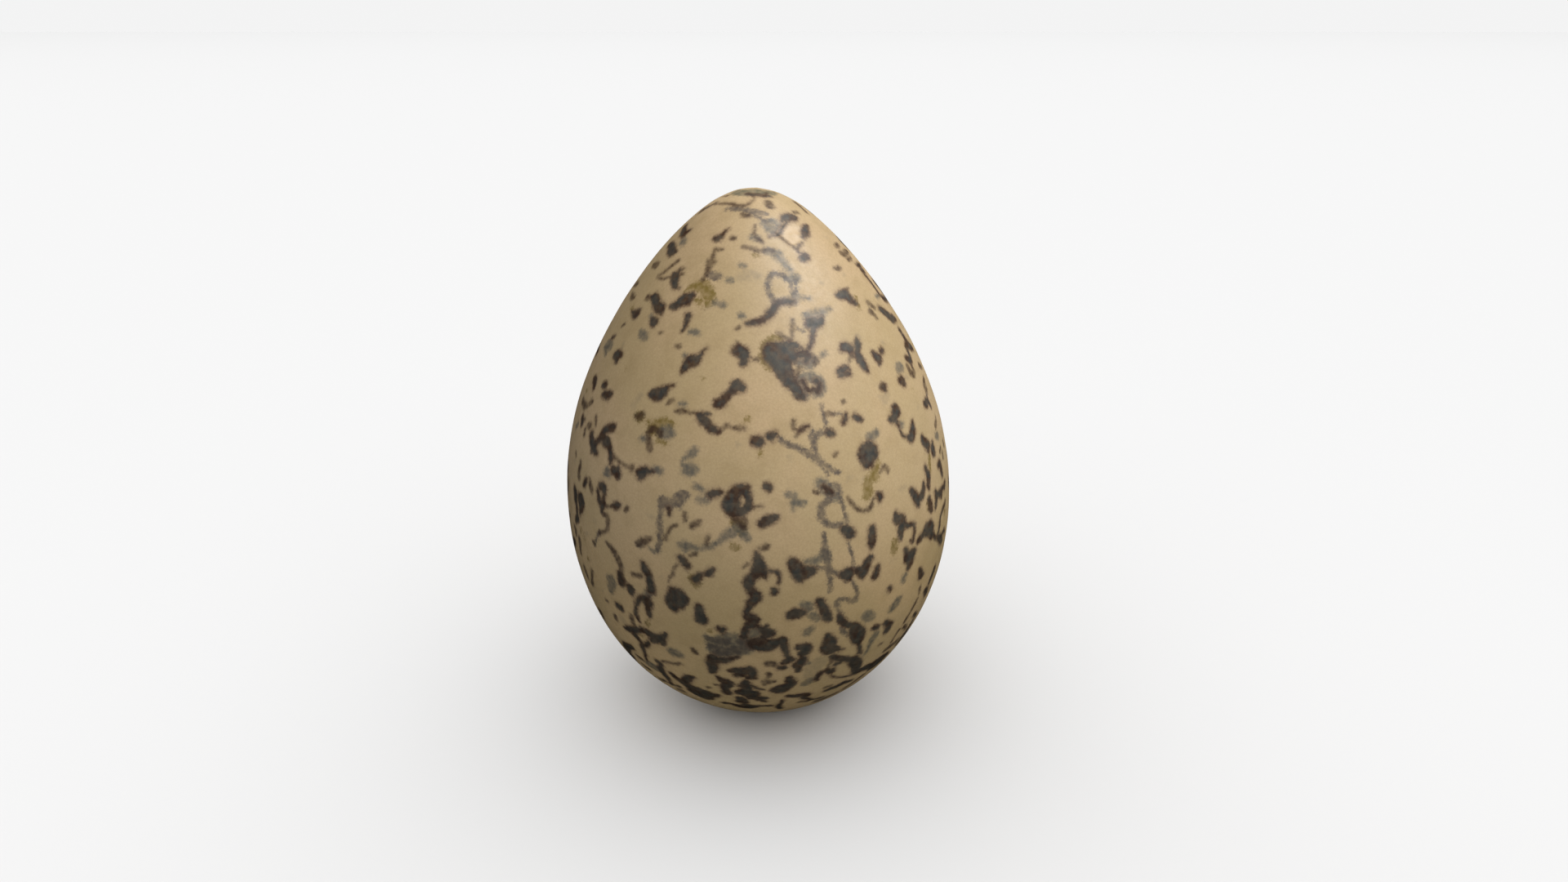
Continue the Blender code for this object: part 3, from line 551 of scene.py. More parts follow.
# Blue grey pigment that lies deeper in the shell, with soft edges
SLATE = [
    ((11, 52.95, 0.32), (18, 53.05, 0.42), (24.5, 52.95, 0.26), (23, 52.4, 0.36), (17, 52.45, 0.46),
     (16, 52.8, 0.55)),
    ((0, 51.95, 0.25), (4, 51.9, 0.25)),
    ((10, 50.95, 0.3), (13, 50.85, 0.34), (16, 50.75, 0.3), (19, 50.7, 0.2)),
    ((-6.3, 49.9, 0.22), (-5, 49.87, 0.2)),
    ((-62, 51.15, 0.28), (-59, 50.95, 0.4), (-56.5, 50.9, 0.25)),
    ((-48.5, 45.1, 0.2), (-47.5, 45.0, 0.2)),
    ((-50, 43.7, 0.25), (-48.3, 43.5, 0.42), (-46.3, 43.5, 0.3)),
    ((-73, 41.0, 0.35), (-71, 41.3, 0.48), (-68.5, 41.4, 0.48), (-66.5, 41.4, 0.34)),
    ((-71, 40.8, 0.2), (-68, 40.7, 0.2)),
    ((-12.7, 48.75, 0.18), (-10.9, 48.75, 0.18)),
    ((-17.8, 47.05, 0.12), (-15.5, 46.95, 0.2), (-13.3, 46.9, 0.28)),
    ((-25.7, 44.65, 0.2), (-23.3, 44.65, 0.24), (-21.6, 44.55, 0.1)),
    ((-25.6, 42.8, 0.12), (-24.3, 42.7, 0.14), (-22.9, 42.55, 0.12)),
    ((-5, 46.2, 0.24), (-3.9, 46.1, 0.2)),
    ((24, 47.2, 0.13), (26, 47.2, 0.17), (28, 47.1, 0.11)),
    ((26, 42.75, 0.22), (27.6, 42.95, 0.16)),
    ((73.5, 45.6, 0.18), (77, 45.5, 0.2)),
    ((-46.5, 31.6, 0.34), (-45.6, 31.7, 0.42), (-44.6, 31.6, 0.36)),
    ((-72.5, 33.1, 0.2), (-71, 33.5, 0.24)),
    ((-23, 39.0, 0.18), (-22, 39.0, 0.22)),
    ((-27.6, 36.5, 0.5), (-26.2, 36.6, 0.6), (-24.9, 36.6, 0.45)),
    ((-34.3, 35.6, 0.26), (-33, 35.7, 0.18)),
    ((-16.6, 35.5, 0.28), (-17.4, 35.2, 0.3), (-18.6, 34.9, 0.2), (-19.8, 34.5, 0.12),
     (-20, 34.2, 0.14), (-19, 34.05, 0.25)),
    ((-19, 34.0, 0.28), (-17.6, 34.05, 0.42), (-16.4, 33.9, 0.36), (-17.6, 33.6, 0.34),
     (-19.4, 33.6, 0.22)),
    ((-15.5, 32.5, 0.26), (-14.2, 32.4, 0.22)),
    ((-14.5, 31.4, 0.24), (-12.4, 31.4, 0.28)),
    ((-28.3, 33.3, 0.34), (-26.6, 33.3, 0.3)),
    ((-7, 28.5, 0.3), (-5.5, 28.7, 0.4), (-4.3, 29.1, 0.42), (-3, 29.0, 0.4), (-2.6, 28.5, 0.36),
     (-1.2, 28.1, 0.2)),
    ((-7, 28.5, 0.3), (-8.5, 27.9, 0.2), (-10.5, 27.4, 0.2), (-12, 27.2, 0.24), (-13.2, 27.05, 0.12),
     (-15, 26.9, 0.13)),
    ((-19.5, 27.1, 0.22), (-18, 27.0, 0.42), (-16.5, 27.0, 0.34), (-15, 26.9, 0.13)),
    ((-26, 26.1, 0.18), (-27, 25.8, 0.14), (-28.5, 26.1, 0.11)),
    ((-32, 26.1, 0.2), (-31.4, 26.3, 0.2)),
    ((-29.5, 21.3, 0.4), (-30.6, 21.0, 0.36), (-31.3, 20.7, 0.3)),
    ((-45, 20.8, 0.42), (-43.8, 21.0, 0.46), (-44, 20.3, 0.5), (-45.3, 19.9, 0.42),
     (-45.5, 19.4, 0.26)),
    ((36.2, 35.6, 0.34), (37.6, 35.65, 0.42), (39, 35.8, 0.3)),
    ((9.4, 32.0, 0.3), (10.9, 31.8, 0.26), (11, 31.4, 0.28), (12.4, 31.2, 0.32), (13.4, 31.2, 0.22)),
    ((10.6, 31.2, 0.18), (10.5, 30.6, 0.12)),
    ((49.8, 35.6, 0.3), (50.8, 35.6, 0.3)),
    ((13.5, 25.8, 0.2), (15.5, 25.7, 0.33), (17.5, 25.9, 0.4), (18.5, 26.2, 0.36), (19, 25.8, 0.34)),
    ((45, 21.4, 0.28), (44, 21.1, 0.22), (44.7, 20.8, 0.26)),
    ((12.6, 21.4, 0.34), (14, 21.2, 0.38), (13.5, 20.8, 0.36)),
    ((13.9, 18.2, 0.4), (14.7, 18.5, 0.34)),
    ((31.6, 18.6, 0.52), (32.6, 18.3, 0.58), (33.6, 18.1, 0.42)),
    ((41, 18.1, 0.42), (42.2, 18.4, 0.5), (43.3, 18.8, 0.42)),
    ((-25.4, 14.5, 0.55), (-23.8, 14.5, 0.55)),
    ((36.7, 15.5, 0.42), (36, 14.8, 0.33), (35.6, 14.0, 0.24), (35.4, 13.3, 0.18), (34.6, 12.9, 0.13)),
    ((14, 14.1, 0.33), (15, 14.0, 0.2)),
    ((-9, 17.5, 0.75), (-6.5, 17.5, 0.95), (-4, 17.3, 0.9)),
    ((-12.3, 17.0, 0.65), (-10.5, 16.6, 0.9), (-8, 16.4, 1.0), (-5.5, 16.4, 0.9), (-3, 16.6, 0.8),
     (-1, 16.9, 0.5)),
    ((-12.5, 16.2, 0.5), (-11, 15.7, 0.55), (-8.5, 15.6, 0.6), (-5.5, 15.8, 0.5)),
    ((-13.6, 17.6, 0.28), (-12.6, 17.2, 0.38)),
    ((58.6, 39.9, 0.3), (60.1, 40.0, 0.46), (61.6, 39.95, 0.38)),
    ((70, 32.5, 0.28), (72, 32.2, 0.36)),
    ((-39.5, 10.6, 0.55), (-37.5, 10.7, 0.66), (-35.5, 10.6, 0.55)),
    ((16.5, 11.0, 0.5), (15.5, 10.7, 0.42)),
    ((15.5, 20.0, 0.42), (16.4, 19.7, 0.36)),
    ((18, 48.85, 0.22), (20.5, 48.8, 0.34), (22.5, 48.75, 0.42), (24.5, 48.8, 0.36)),
    ((9.3, 46.5, 0.3), (11.5, 46.95, 0.36), (14, 47.1, 0.34), (17, 47.1, 0.4), (19.5, 47.2, 0.46),
     (21.5, 47.4, 0.42)),
    ((16.2, 41.2, 0.3), (18.4, 41.3, 0.34), (20.5, 41.2, 0.4)),
    ((20.5, 41.2, 0.4), (22.3, 40.9, 0.5), (23, 40.5, 0.42), (22.2, 40.05, 0.42), (20.6, 39.95, 0.34)),
    ((16.8, 42.6, 0.4), (18.6, 42.5, 0.5), (20.6, 42.3, 0.5), (22, 42.4, 0.36)),
    ((29.5, 45.6, 0.36), (31.5, 46.0, 0.34), (33.6, 46.05, 0.28), (36.5, 46.1, 0.14)),
    ((23.6, 45.9, 0.3), (26, 45.9, 0.34), (28, 46.0, 0.3)),
    ((18.4, 32.7, 0.4), (19.6, 32.3, 0.54), (20.8, 31.9, 0.6), (21.6, 31.5, 0.5), (22.8, 31.2, 0.34)),
    ((15.6, 41.0, 0.4), (16.2, 40.5, 0.5), (17, 39.9, 0.4)),
    ((15.4, 50.7, 0.22), (18, 50.3, 0.28), (20.5, 49.9, 0.24), (22, 49.5, 0.2)),
    ((-2, 18.2, 0.55), (0.5, 18.7, 0.65), (2.5, 18.5, 0.55)),
    ((-0.6, 19.2, 0.4), (1, 18.9, 0.4)),
]

# Smudged brown grey lines, as if drawn in pencil
SCRAWL = [
    ((-36, 53.9, 0.2), (-24, 54.0, 0.26), (-14, 53.97, 0.3), (-5, 53.9, 0.32), (7, 53.8, 0.27),
     (16, 53.65, 0.16)),
    ((-1, 53.75, 0.14), (3, 53.6, 0.15), (10, 53.3, 0.18), (14, 53.1, 0.18)),
    ((18.5, 45.0, 0.11), (21, 44.8, 0.1), (22.5, 45.2, 0.14), (23.3, 45.5, 0.11)),
    ((8, 36.7, 0.13), (10, 36.2, 0.18), (12, 35.9, 0.18), (14.5, 35.6, 0.18), (16.5, 35.2, 0.18),
     (18.5, 34.7, 0.18)),
    ((18.5, 34.7, 0.18), (20.5, 34.1, 0.18), (22, 33.7, 0.17), (23.5, 33.4, 0.14), (24.5, 33.3, 0.07)),
    ((15, 35.2, 0.08), (18, 34.6, 0.1), (20, 33.8, 0.1), (21, 33.3, 0.09)),
    ((18, 37.0, 0.11), (17.5, 36.7, 0.13)),
    ((21.7, 39.0, 0.1), (22, 38.2, 0.1), (22.4, 37.5, 0.13)),
    ((25.3, 38.15, 0.05), (28, 38.0, 0.04)),
    ((18.5, 28.1, 0.15), (18.4, 27.3, 0.24), (18.5, 26.6, 0.33), (18.9, 25.9, 0.33),
     (19.2, 25.2, 0.28), (19.5, 24.5, 0.25)),
    ((19.5, 24.5, 0.19), (19.6, 23.8, 0.18), (19.8, 23.0, 0.18), (19.8, 22.4, 0.12)),
    ((15, 25.0, 0.13), (17, 25.0, 0.11), (19, 24.7, 0.18), (21, 24.3, 0.22), (22.6, 23.9, 0.24)),
    ((24.3, 24.2, 0.22), (26.4, 24.1, 0.18), (28, 24.0, 0.26)),
    ((25.4, 26.8, 0.09), (26, 26.0, 0.13), (26.5, 25.2, 0.11), (26.8, 24.4, 0.1)),
    ((25.2, 23.3, 0.15), (26, 23.0, 0.14), (27, 22.4, 0.14), (27.8, 21.8, 0.14), (28, 21.2, 0.12),
     (27.6, 20.75, 0.18)),
    ((27.6, 20.75, 0.18), (26, 20.8, 0.18), (24.5, 21.1, 0.18), (23, 21.3, 0.18), (21.8, 21.1, 0.18),
     (22, 20.7, 0.14)),
    ((22, 20.7, 0.14), (22.5, 20.2, 0.14), (23, 19.6, 0.2), (23.5, 19.1, 0.33), (24, 18.7, 0.33),
     (24.6, 18.4, 0.24)),
    ((24.4, 18.4, 0.2), (24, 17.9, 0.18), (24.5, 17.4, 0.24), (25.3, 17.2, 0.18), (26.6, 16.8, 0.2)),
    ((-47.5, 25.5, 0.17), (-48.5, 25.2, 0.13), (-49.3, 24.7, 0.13), (-50, 24.2, 0.13),
     (-50.5, 23.9, 0.15)),
    ((72.6, 36.1, 0.13), (75, 36.25, 0.1)),
    ((13, 47.15, 0.2), (10.3, 47.35, 0.24), (8.5, 47.8, 0.26), (8.2, 48.3, 0.24), (9.3, 48.85, 0.24),
     (11, 49.2, 0.2)),
    ((11, 49.2, 0.2), (12.8, 49.25, 0.18), (14.5, 49.05, 0.15), (16.5, 49.2, 0.2), (18, 48.9, 0.18)),
    ((20.5, 48.6, 0.16), (20, 48.1, 0.13), (20.8, 47.6, 0.14), (22.5, 48.2, 0.12), (23, 48.6, 0.16)),
    ((18.7, 36.6, 0.2), (20, 36.8, 0.2), (21.5, 36.75, 0.22), (22.6, 36.9, 0.26)),
    ((18.7, 36.6, 0.2), (18, 36.3, 0.24), (17.8, 35.8, 0.24), (18.1, 35.3, 0.16)),
    ((20.5, 31.1, 0.3), (19.2, 30.9, 0.3), (18.2, 30.5, 0.3), (17.9, 30.0, 0.3), (18.4, 29.5, 0.26),
     (19.3, 29.1, 0.2)),
    ((19.3, 29.1, 0.2), (20.5, 28.8, 0.22), (22, 28.75, 0.22), (23.5, 28.7, 0.22)),
    ((25, 28.6, 0.15), (25, 29.4, 0.15), (24.4, 30.2, 0.14), (23.8, 30.9, 0.16)),
    ((22, 32.5, 0.12), (23, 32.3, 0.13), (23.8, 31.9, 0.13), (23.8, 31.3, 0.13)),
    ((-4.5, 17.4, 0.4), (-2.5, 16.9, 0.6), (-4.5, 16.3, 0.5), (-8, 16.0, 0.45), (-11, 15.8, 0.4)),
    ((-25, 30.8, 0.42), (-23.8, 30.6, 0.5), (-22.6, 30.5, 0.42), (-21.6, 30.8, 0.36),
     (-20.6, 31.15, 0.45)),
    ((-20.6, 31.15, 0.45), (-19.4, 31.5, 0.52), (-18.3, 31.6, 0.36)),
    ((-19.6, 31.0, 0.35), (-19.8, 30.55, 0.2)),
    ((-25.4, 30.3, 0.22), (-25.3, 29.5, 0.2), (-25.5, 29.0, 0.22), (-25.4, 28.5, 0.24),
     (-25.2, 28.0, 0.24), (-25.4, 27.5, 0.2)),
    ((-25.4, 27.5, 0.2), (-25.3, 27.0, 0.2), (-25.8, 26.5, 0.24), (-26, 26.15, 0.16)),
    ((-23.5, 49.05, 0.28), (-21, 48.95, 0.38), (-18.3, 48.95, 0.27)),
    ((-13, 17.4, 0.3), (-10.5, 17.2, 0.4), (-8, 17.3, 0.35)),
    ((-12.8, 16.6, 0.35), (-9.5, 16.2, 0.4), (-6.5, 16.4, 0.45)),
]

# Barely seen clouds of grey
FAINT = [
    ((15, 50.5, 0.38), (18, 50.1, 0.34), (20.5, 49.7, 0.34), (22, 49.3, 0.36)),
    ((-6.5, 49.0, 0.3), (-3, 49.12, 0.45), (1, 49.15, 0.45), (3.5, 49.1, 0.3)),
    ((-22.5, 46.6, 0.25), (-19, 46.8, 0.25)),
    ((37.8, 48.15, 0.2), (38.8, 48.15, 0.18)),
    ((43.8, 43.6, 0.15), (45.7, 43.5, 0.18)),
    ((66, 51.2, 0.18), (68.5, 51.2, 0.16)),
    ((56, 48.35, 0.18), (57.5, 48.3, 0.16)),
    ((57, 42.4, 0.18), (60, 42.3, 0.18)),
    ((-57.6, 42.3, 0.18), (-57.4, 42.0, 0.18)),
    ((-12.3, 42.2, 0.12), (-11.7, 42.2, 0.1)),
    ((22, 48.2, 0.14), (23, 48.0, 0.14)),
    ((-67, 30.3, 0.28), (-66.3, 30.3, 0.26)),
    ((-40.8, 38.0, 0.28), (-40.3, 38.0, 0.26)),
    ((-39.2, 39.0, 0.24), (-38.8, 39.0, 0.24)),
    ((-4.2, 36.2, 0.24), (-3.8, 36.2, 0.24)),
    ((-28.8, 29.1, 0.24), (-28.2, 29.1, 0.24)),
    ((-12.8, 32.2, 0.42), (-12.2, 32.1, 0.42)),
    ((10, 34.95, 0.24), (10.6, 34.95, 0.24)),
    ((44.6, 38.3, 0.36), (46.3, 38.2, 0.42), (48, 38.4, 0.28)),
    ((44.6, 30.3, 0.36), (45.4, 30.3, 0.36)),
    ((27.2, 32.6, 0.28), (27.8, 32.6, 0.28)),
    ((61.8, 36.3, 0.28), (62.7, 36.3, 0.28)),
    ((62, 38.9, 0.28), (63, 38.9, 0.24)),
    ((31.7, 32.1, 0.3), (32.3, 32.1, 0.3)),
    ((39.2, 23.8, 0.28), (39.8, 23.8, 0.28)),
    ((-51.3, 18.6, 0.28), (-50.7, 18.6, 0.28)),
    ((-55.6, 24.3, 0.28), (-55, 24.3, 0.28)),
    ((-25.2, 23.4, 0.18), (-24.8, 23.4, 0.18)),
    ((18.5, 13.8, 0.9), (17, 13.0, 0.9), (16.5, 12.0, 0.7)),
    ((-43.3, 16.3, 0.46), (-42.7, 16.3, 0.46)),
    ((-50.3, 26.5, 0.28), (-49.7, 26.5, 0.28)),
]

# Olive and yellow stains
MOSS = [
    ((1, 50.65, 0.16), (3.5, 50.7, 0.14)),
    ((-66.5, 45.0, 0.15), (-65, 45.0, 0.2)),
    ((-34, 47.6, 0.2), (-31, 48.0, 0.36), (-28, 48.1, 0.5), (-25, 48.1, 0.55), (-22.5, 47.8, 0.6),
     (-20.8, 47.4, 0.4)),
    ((-17.3, 41.2, 0.12), (-16.5, 41.15, 0.1)),
    ((-49.9, 40.5, 0.1), (-49.5, 40.8, 0.08)),
    ((4.2, 43.0, 0.4), (5.2, 43.7, 0.42), (8, 44.25, 0.36), (11, 44.4, 0.26)),
    ((53.2, 45.6, 0.2), (55, 46.4, 0.18)),
    ((-32, 36.5, 0.28), (-30.5, 36.7, 0.36), (-29, 36.5, 0.3)),
    ((-27, 37.4, 0.2), (-26, 37.3, 0.22)),
    ((-33.7, 37.2, 0.1), (-33.2, 37.2, 0.1)),
    ((2.6, 35.75, 0.13), (1.8, 35.3, 0.1)),
    ((-2, 38.2, 0.16), (-1, 38.5, 0.16)),
    ((37.5, 33.3, 0.25), (35.8, 32.8, 0.4), (35.6, 32.1, 0.4), (33.4, 32.2, 0.36), (32.6, 31.5, 0.45),
     (32.2, 30.8, 0.42)),
    ((32, 30.8, 0.34), (33.5, 31.0, 0.2)),
    ((61.6, 31.5, 0.2), (60.4, 30.8, 0.22), (60.3, 30.1, 0.16)),
    ((-5.3, 27.2, 0.26), (-4.7, 27.2, 0.26)),
    ((-15.3, 23.7, 0.33), (-15.2, 23.3, 0.24)),
    ((-32.4, 17.3, 0.24), (-31.5, 17.9, 0.14)),
    ((-12.7, 18.4, 0.14), (-12.3, 18.4, 0.14)),
    ((40.3, 25.6, 0.34), (40, 25.0, 0.42), (39.8, 24.5, 0.28)),
    ((-59, 24.0, 0.28), (-57.6, 23.8, 0.28), (-57.3, 23.3, 0.18)),
    ((-56.2, 21.6, 0.22), (-55.8, 21.4, 0.22)),
    ((69.3, 24.4, 0.24), (69.9, 24.4, 0.24)),
    ((56.4, 26.8, 0.2), (56.5, 27.4, 0.2)),
    ((48.5, 9.2, 0.28), (49.5, 9.2, 0.28)),
    ((-36.6, 15.4, 0.22), (-36.1, 15.4, 0.22)),
    ((63.3, 37.6, 0.18), (63.8, 37.6, 0.18)),
    ((-73.5, 36.8, 0.18), (-72.5, 36.8, 0.18)),
    ((-30, 37.1, 0.32), (-27.5, 37.4, 0.38), (-25, 37.3, 0.26)),
    ((-28.5, 35.8, 0.22), (-26, 35.7, 0.22)),
    ((-27, 47.1, 0.22), (-24.5, 46.9, 0.3), (-22, 46.8, 0.32), (-20.6, 47.0, 0.26)),
    ((-20.6, 47.95, 0.2), (-19.3, 47.5, 0.26), (-18.2, 47.1, 0.18)),
    ((6.4, 44.0, 0.26), (5.0, 43.4, 0.34), (5.1, 42.7, 0.3), (6.4, 42.1, 0.22)),
    ((-4.6, 29.7, 0.42), (-3.6, 29.3, 0.5), (-3.2, 28.9, 0.4)),
    ((-5.2, 27.4, 0.3), (-4.8, 27.3, 0.34)),
    ((-16.2, 24.0, 0.4), (-15.4, 23.6, 0.42)),
    ((-37.3, 37.3, 0.4), (-36.7, 37.2, 0.42)),
    ((-31.4, 36.4, 0.4), (-30.4, 36.9, 0.4), (-29, 37.0, 0.36)),
    ((1.2, 25.3, 0.3), (2, 24.9, 0.3)),
]

# Bare, pale shell where a flake has come away
CHIP = [
    ((24.5, 52.25, 0.34), (29, 52.35, 0.48), (34, 52.4, 0.48), (39.5, 52.3, 0.4)),
    ((27.5, 51.85, 0.36), (31, 51.6, 0.42), (36, 51.75, 0.36)),
]

# The grey crust on the very tip
CRUST = [
    ((-80, 55.05, 0.5), (-32, 55.15, 0.8), (37, 55.15, 0.8), (76, 55.0, 0.5)),
    ((-75, 55.05, 0.4), (-50, 54.95, 0.3)),
]

KINDS = {
    "ink": INK,
    "umber": UMBER,
    "slate": SLATE,
    "scrawl": SCRAWL,
    "faint": FAINT,
    "moss": MOSS,
    "chip": CHIP,
    "crust": CRUST,
}

# How the fields of the markings are worked out
REACH = 1.0  # how far outside a marking its field is still known
WIDER = 0.06  # added to every half width, as far as a soft edge reaches
BLEND = 0.2  # over which neighbouring markings run together
CURVE_STEPS = 3  # pieces of a smooth curve between two places of a stroke
WARP, WARP_SIZE = 0.09, 0.9  # how far and over what size the edges wander
WARP_SEED = 7  # without a seed this noise would differ from run to run

# The mesh grows finer where a sharp marking's field bends between its vertices
FIRST_LEVELS = 6
REFINEMENTS = 4
COARSE = 0.6  # edges this long are cut wherever a marking is as near
OUTER, INNER = -0.3, 0.3  # the depths between which a field's shape can be seen
TOLERANCE = 0.02  # how far a field may bend along an edge that stays whole
SHARP_KINDS = ("ink", "umber", "slate", "scrawl", "chip")

# How deep the flake near the tip leaves the shell, and how wide the step at its edge is
CHIP_DEPTH, CHIP_EDGE = 0.1, 0.3

# Marks on the sides that the photograph doesn't show: count, half widths and places of a stroke
HIDDEN_SEED = 7
HIDDEN_MARKS = {
    "ink": (340, (0.22, 0.65), (2, 5)),
    "umber": (150, (0.08, 0.26), (2, 5)),
    "slate": (80, (0.2, 0.5), (2, 3)),
    "scrawl": (24, (0.12, 0.24), (5, 10)),
    "faint": (60, (0.25, 0.5), (2, 3)),
    "moss": (34, (0.18, 0.4), (2, 4)),
}
HIDDEN_HEIGHTS = (0.2, 54.4, 17.0)  # the lowest, the highest and the commonest start
# Heights, and how far round from its middle the photograph shows the egg at each
SEEN = ((0, 3.5, 4, 6, 9, 17, 25, 30, 40, 56), (0, 0, 30, 46, 58, 72, 79, 88, 92, 92))
LOWEST_MARK, HIGHEST_MARK = 0.2, 54.6
STEP_LENGTHS = (0.2, 1.3)
WIDTH_SHARES = (0.75, 1.15)
THINNING, BEND = 0.6, 0.8


def rgb(red, green, blue):
    """A colour as seen on a screen, from 0 to 255, as the renderer's own linear colour."""
    seen = Color((red / 255, green / 255, blue / 255))
    return (*seen.from_srgb_to_scene_linear(), 1.0)


# The shell's own colours
BUFF = rgb(172, 151, 114)
BUFF_WARM = rgb(180, 156, 121)
BUFF_OLIVE = rgb(158, 137, 100)
BUFF_DARK = rgb(147, 126, 92)
BUFF_PALE = rgb(190, 170, 136)
PAINTED_SHADE_WASH = (0.77, 0.74, 0.6, 1.0)  # painted shade: multiplies the colour from the lower height down, darker and yellower towards the blunt end
PAINTED_SHADE_HEIGHTS = (18.0, 34.0)
INK_BROWN = rgb(62, 43, 32)
INK_GREY = rgb(66, 59, 52)
INK_BLUE = rgb(56, 57, 55)
INK_RIM = rgb(90, 67, 52)

# The ground's mottling, broad to fine: size, detail, noise where it starts and is full, strength, colour
MOTTLES = (
    (9.0, 2.0, 0.35, 0.65, 1.0, BUFF_WARM),
    (2.2, 4.0, 0.45, 0.75, 0.5, BUFF_OLIVE),
    (0.2, 3.0, 0.3, 0.7, 0.3, BUFF_DARK),
    (0.13, 2.0, 0.55, 0.8, 0.35, BUFF_PALE),
)

# The near black pigment's clouds, as above, and the depths between which blue and the rim change
INK_CLOUDS = (1.4, 3.0, 0.4, 0.6)
BLUE_CLOUDS = (0.9, 3.0, 0.42, 0.62)
BLUE_DEPTHS = (0.1, 0.45)
RIM_DEPTHS = (-0.1, 0.2)

# Each coat of pigment: kind, where it starts and is full (mm), strength, patchiness, colour
COATS = (
    ("faint", -0.25, 0.3, 0.45, 0.5, rgb(122, 112, 94)),
    ("moss", -0.25, 0.2, 0.95, 0.4, rgb(112, 94, 43)),
    ("slate", -0.3, 0.26, 0.9, 0.35, rgb(84, 82, 76)),
    ("scrawl", -0.24, 0.2, 0.9, 0.35, rgb(78, 70, 66)),
    ("crust", -0.2, 0.2, 0.95, 0.35, rgb(96, 92, 74)),
    ("chip", -0.06, 0.12, 0.7, 0.5, rgb(192, 169, 138)),
    ("umber", -0.4, 0.0, 0.16, 0.6, rgb(96, 74, 58)),
    ("ink", -0.5, 0.0, 0.2, 0.6, rgb(98, 80, 68)),
    ("umber", -0.24, 0.2, 0.92, 0.35, rgb(64, 46, 34)),
    ("ink", -0.28, 0.22, 1.0, 0.1, None),
)

# How far the noise moves a marking's edge: the same broad wander for all, and each kind's fine fuzz
NOISE_MIDDLE = 0.5
EDGE_WANDER = 0.36
WANDER_SIZE, WANDER_DETAIL = 0.6, 2.5
FUZZ_SIZE, FUZZ_DETAIL = 0.22, 2.0
EDGE_FUZZ = {
    "ink": 0.35,
    "umber": 0.3,
    "slate": 0.5,
    "scrawl": 0.6,
    "faint": 0.4,
    "moss": 0.7,
    "chip": 0.1,
    "crust": 0.6,
}

# Thin places in every coat, the gloss and its clouds, and the pores
PATCH_SIZE, PATCH_DETAIL = 0.5, 3.0
PATCHES = (0.3, 0.7)
ROUGHNESS = (0.42, 0.56)
GLOSS_CLOUDS = (0.7, 3.0, 0.3, 0.7)
SHEEN = 0.5
PORE_SIZE, PORE_DETAIL = 0.16, 3.0
PORE_DEPTH, PORE_STRENGTH = 0.02, 0.3

# The numbers of a mix node's sockets for colours
MIX_SHARE, MIX_UNDER, MIX_OVER, MIX_RESULT = 0, 6, 7, 2

# The studio, in metres: each light's place, size, power, colour, and whether it lights the egg
FLOOR_SIZE = 2.0
FLOOR_COLOUR = (0.72, 0.72, 0.72, 1.0)
SKY_COLOUR = (1.0, 1.0, 1.0, 1.0)
SKY_STRENGTH = 0.9
EGG_MIDDLE = (0.0, 0.0, 0.028)
LIGHTS = (
    ("ceiling", (0.0, 0.0, 2.5), 10.0, 490.0, (1.0, 1.0, 1.0), False),
    ("key", (0.59, -0.104, 1.067), 0.96, 20.5, (1.0, 0.985, 0.96), True),
    ("front", (-0.06, -0.72, 0.95), 1.1, 6.2, (1.0, 0.985, 0.96), True),
    ("back", (0.0, 1.04, 0.628), 1.1, 13.0, (1.0, 1.0, 1.0), True),
)
MATT_LIGHTS = ("front", "back")
VIEW_ANGLE = math.radians(45)
CAMERA_PLACE = (0.00262, -0.102258, 0.072597)
CAMERA_PITCH = math.radians(23)
CAMERA_CLIP = (0.005, 60.0)


def oval_table():
    """Radii and heights above the floor down the egg's side, from the tip to the blunt end."""
    turn = np.linspace(0, math.pi, OVAL_STEPS)
    rise = np.cos(turn)
    width = np.sin(turn) * (1 + TAPER * rise + FLANK * rise**2 + POINT * rise**3)
    radii = width * (BREADTH / 2 / width.max())
    heights = LENGTH / 2 * (1 + rise)
    lower = turn > math.pi / 2
    foot = np.interp(-FOOT_RADIUS, -radii[lower], heights[lower])
    return turn, radii, heights, foot


TURN, RADII, HEIGHTS, FOOT_DEPTH = oval_table()


def leaned(around, radius, height):
    """Points from unit directions in plan, radii and heights above the blunt end."""
    points = np.column_stack([around * radius[:, None], height - FOOT_DEPTH])
    points[:, 0] += TIP_LEAN * (height - LENGTH / 2)
    return points


def even_points(directions):
    """Where directions from the middle of a unit sphere meet the egg's even oval."""
    turn = np.arccos(np.clip(directions[:, 2], -1, 1))
    radius = np.interp(turn, TURN, RADII)
    height = np.interp(turn, TURN, HEIGHTS)
    plan = directions[:, :2]
    around = plan / np.maximum(np.linalg.norm(plan, axis=1), TINY)[:, None]
    return leaned(around, radius, height)


def stroke_curve(stroke):
    """A marking's chain as a smooth curve on the even oval: points and half widths in rows."""
    places = np.array(stroke)
    azimuth = np.radians(places[:, 0])
    height = places[:, 1] + FOOT_DEPTH
    around = np.column_stack([np.sin(azimuth), -np.cos(azimuth)])
    ends = leaned(around, np.interp(-height, -HEIGHTS, RADII), height)
    rows = np.column_stack([ends, places[:, 2] + WIDER])
    if len(rows) < 3:
        return rows
    rows = np.vstack([2 * rows[0] - rows[1], rows, 2 * rows[-1] - rows[-2]])
    share = np.arange(1, CURVE_STEPS + 1)[:, None] / CURVE_STEPS
    curve = [rows[1:2]]
    for before, start, end, after in zip(rows, rows[1:], rows[2:], rows[3:]):
        bend = (2 * before - 5 * start + 4 * end - after) * share**2
        turn = (3 * start - before - 3 * end + after) * share**3
        curve.append(start + ((end - before) * share + bend + turn) / 2)
    return np.vstack(curve)


def merged(one, other):
    """The larger of two fields, rounded where they are nearly equal."""
    near = np.maximum(BLEND - np.abs(one - other), 0) / BLEND
    return np.maximum(one, other) + near**2 * BLEND / 4


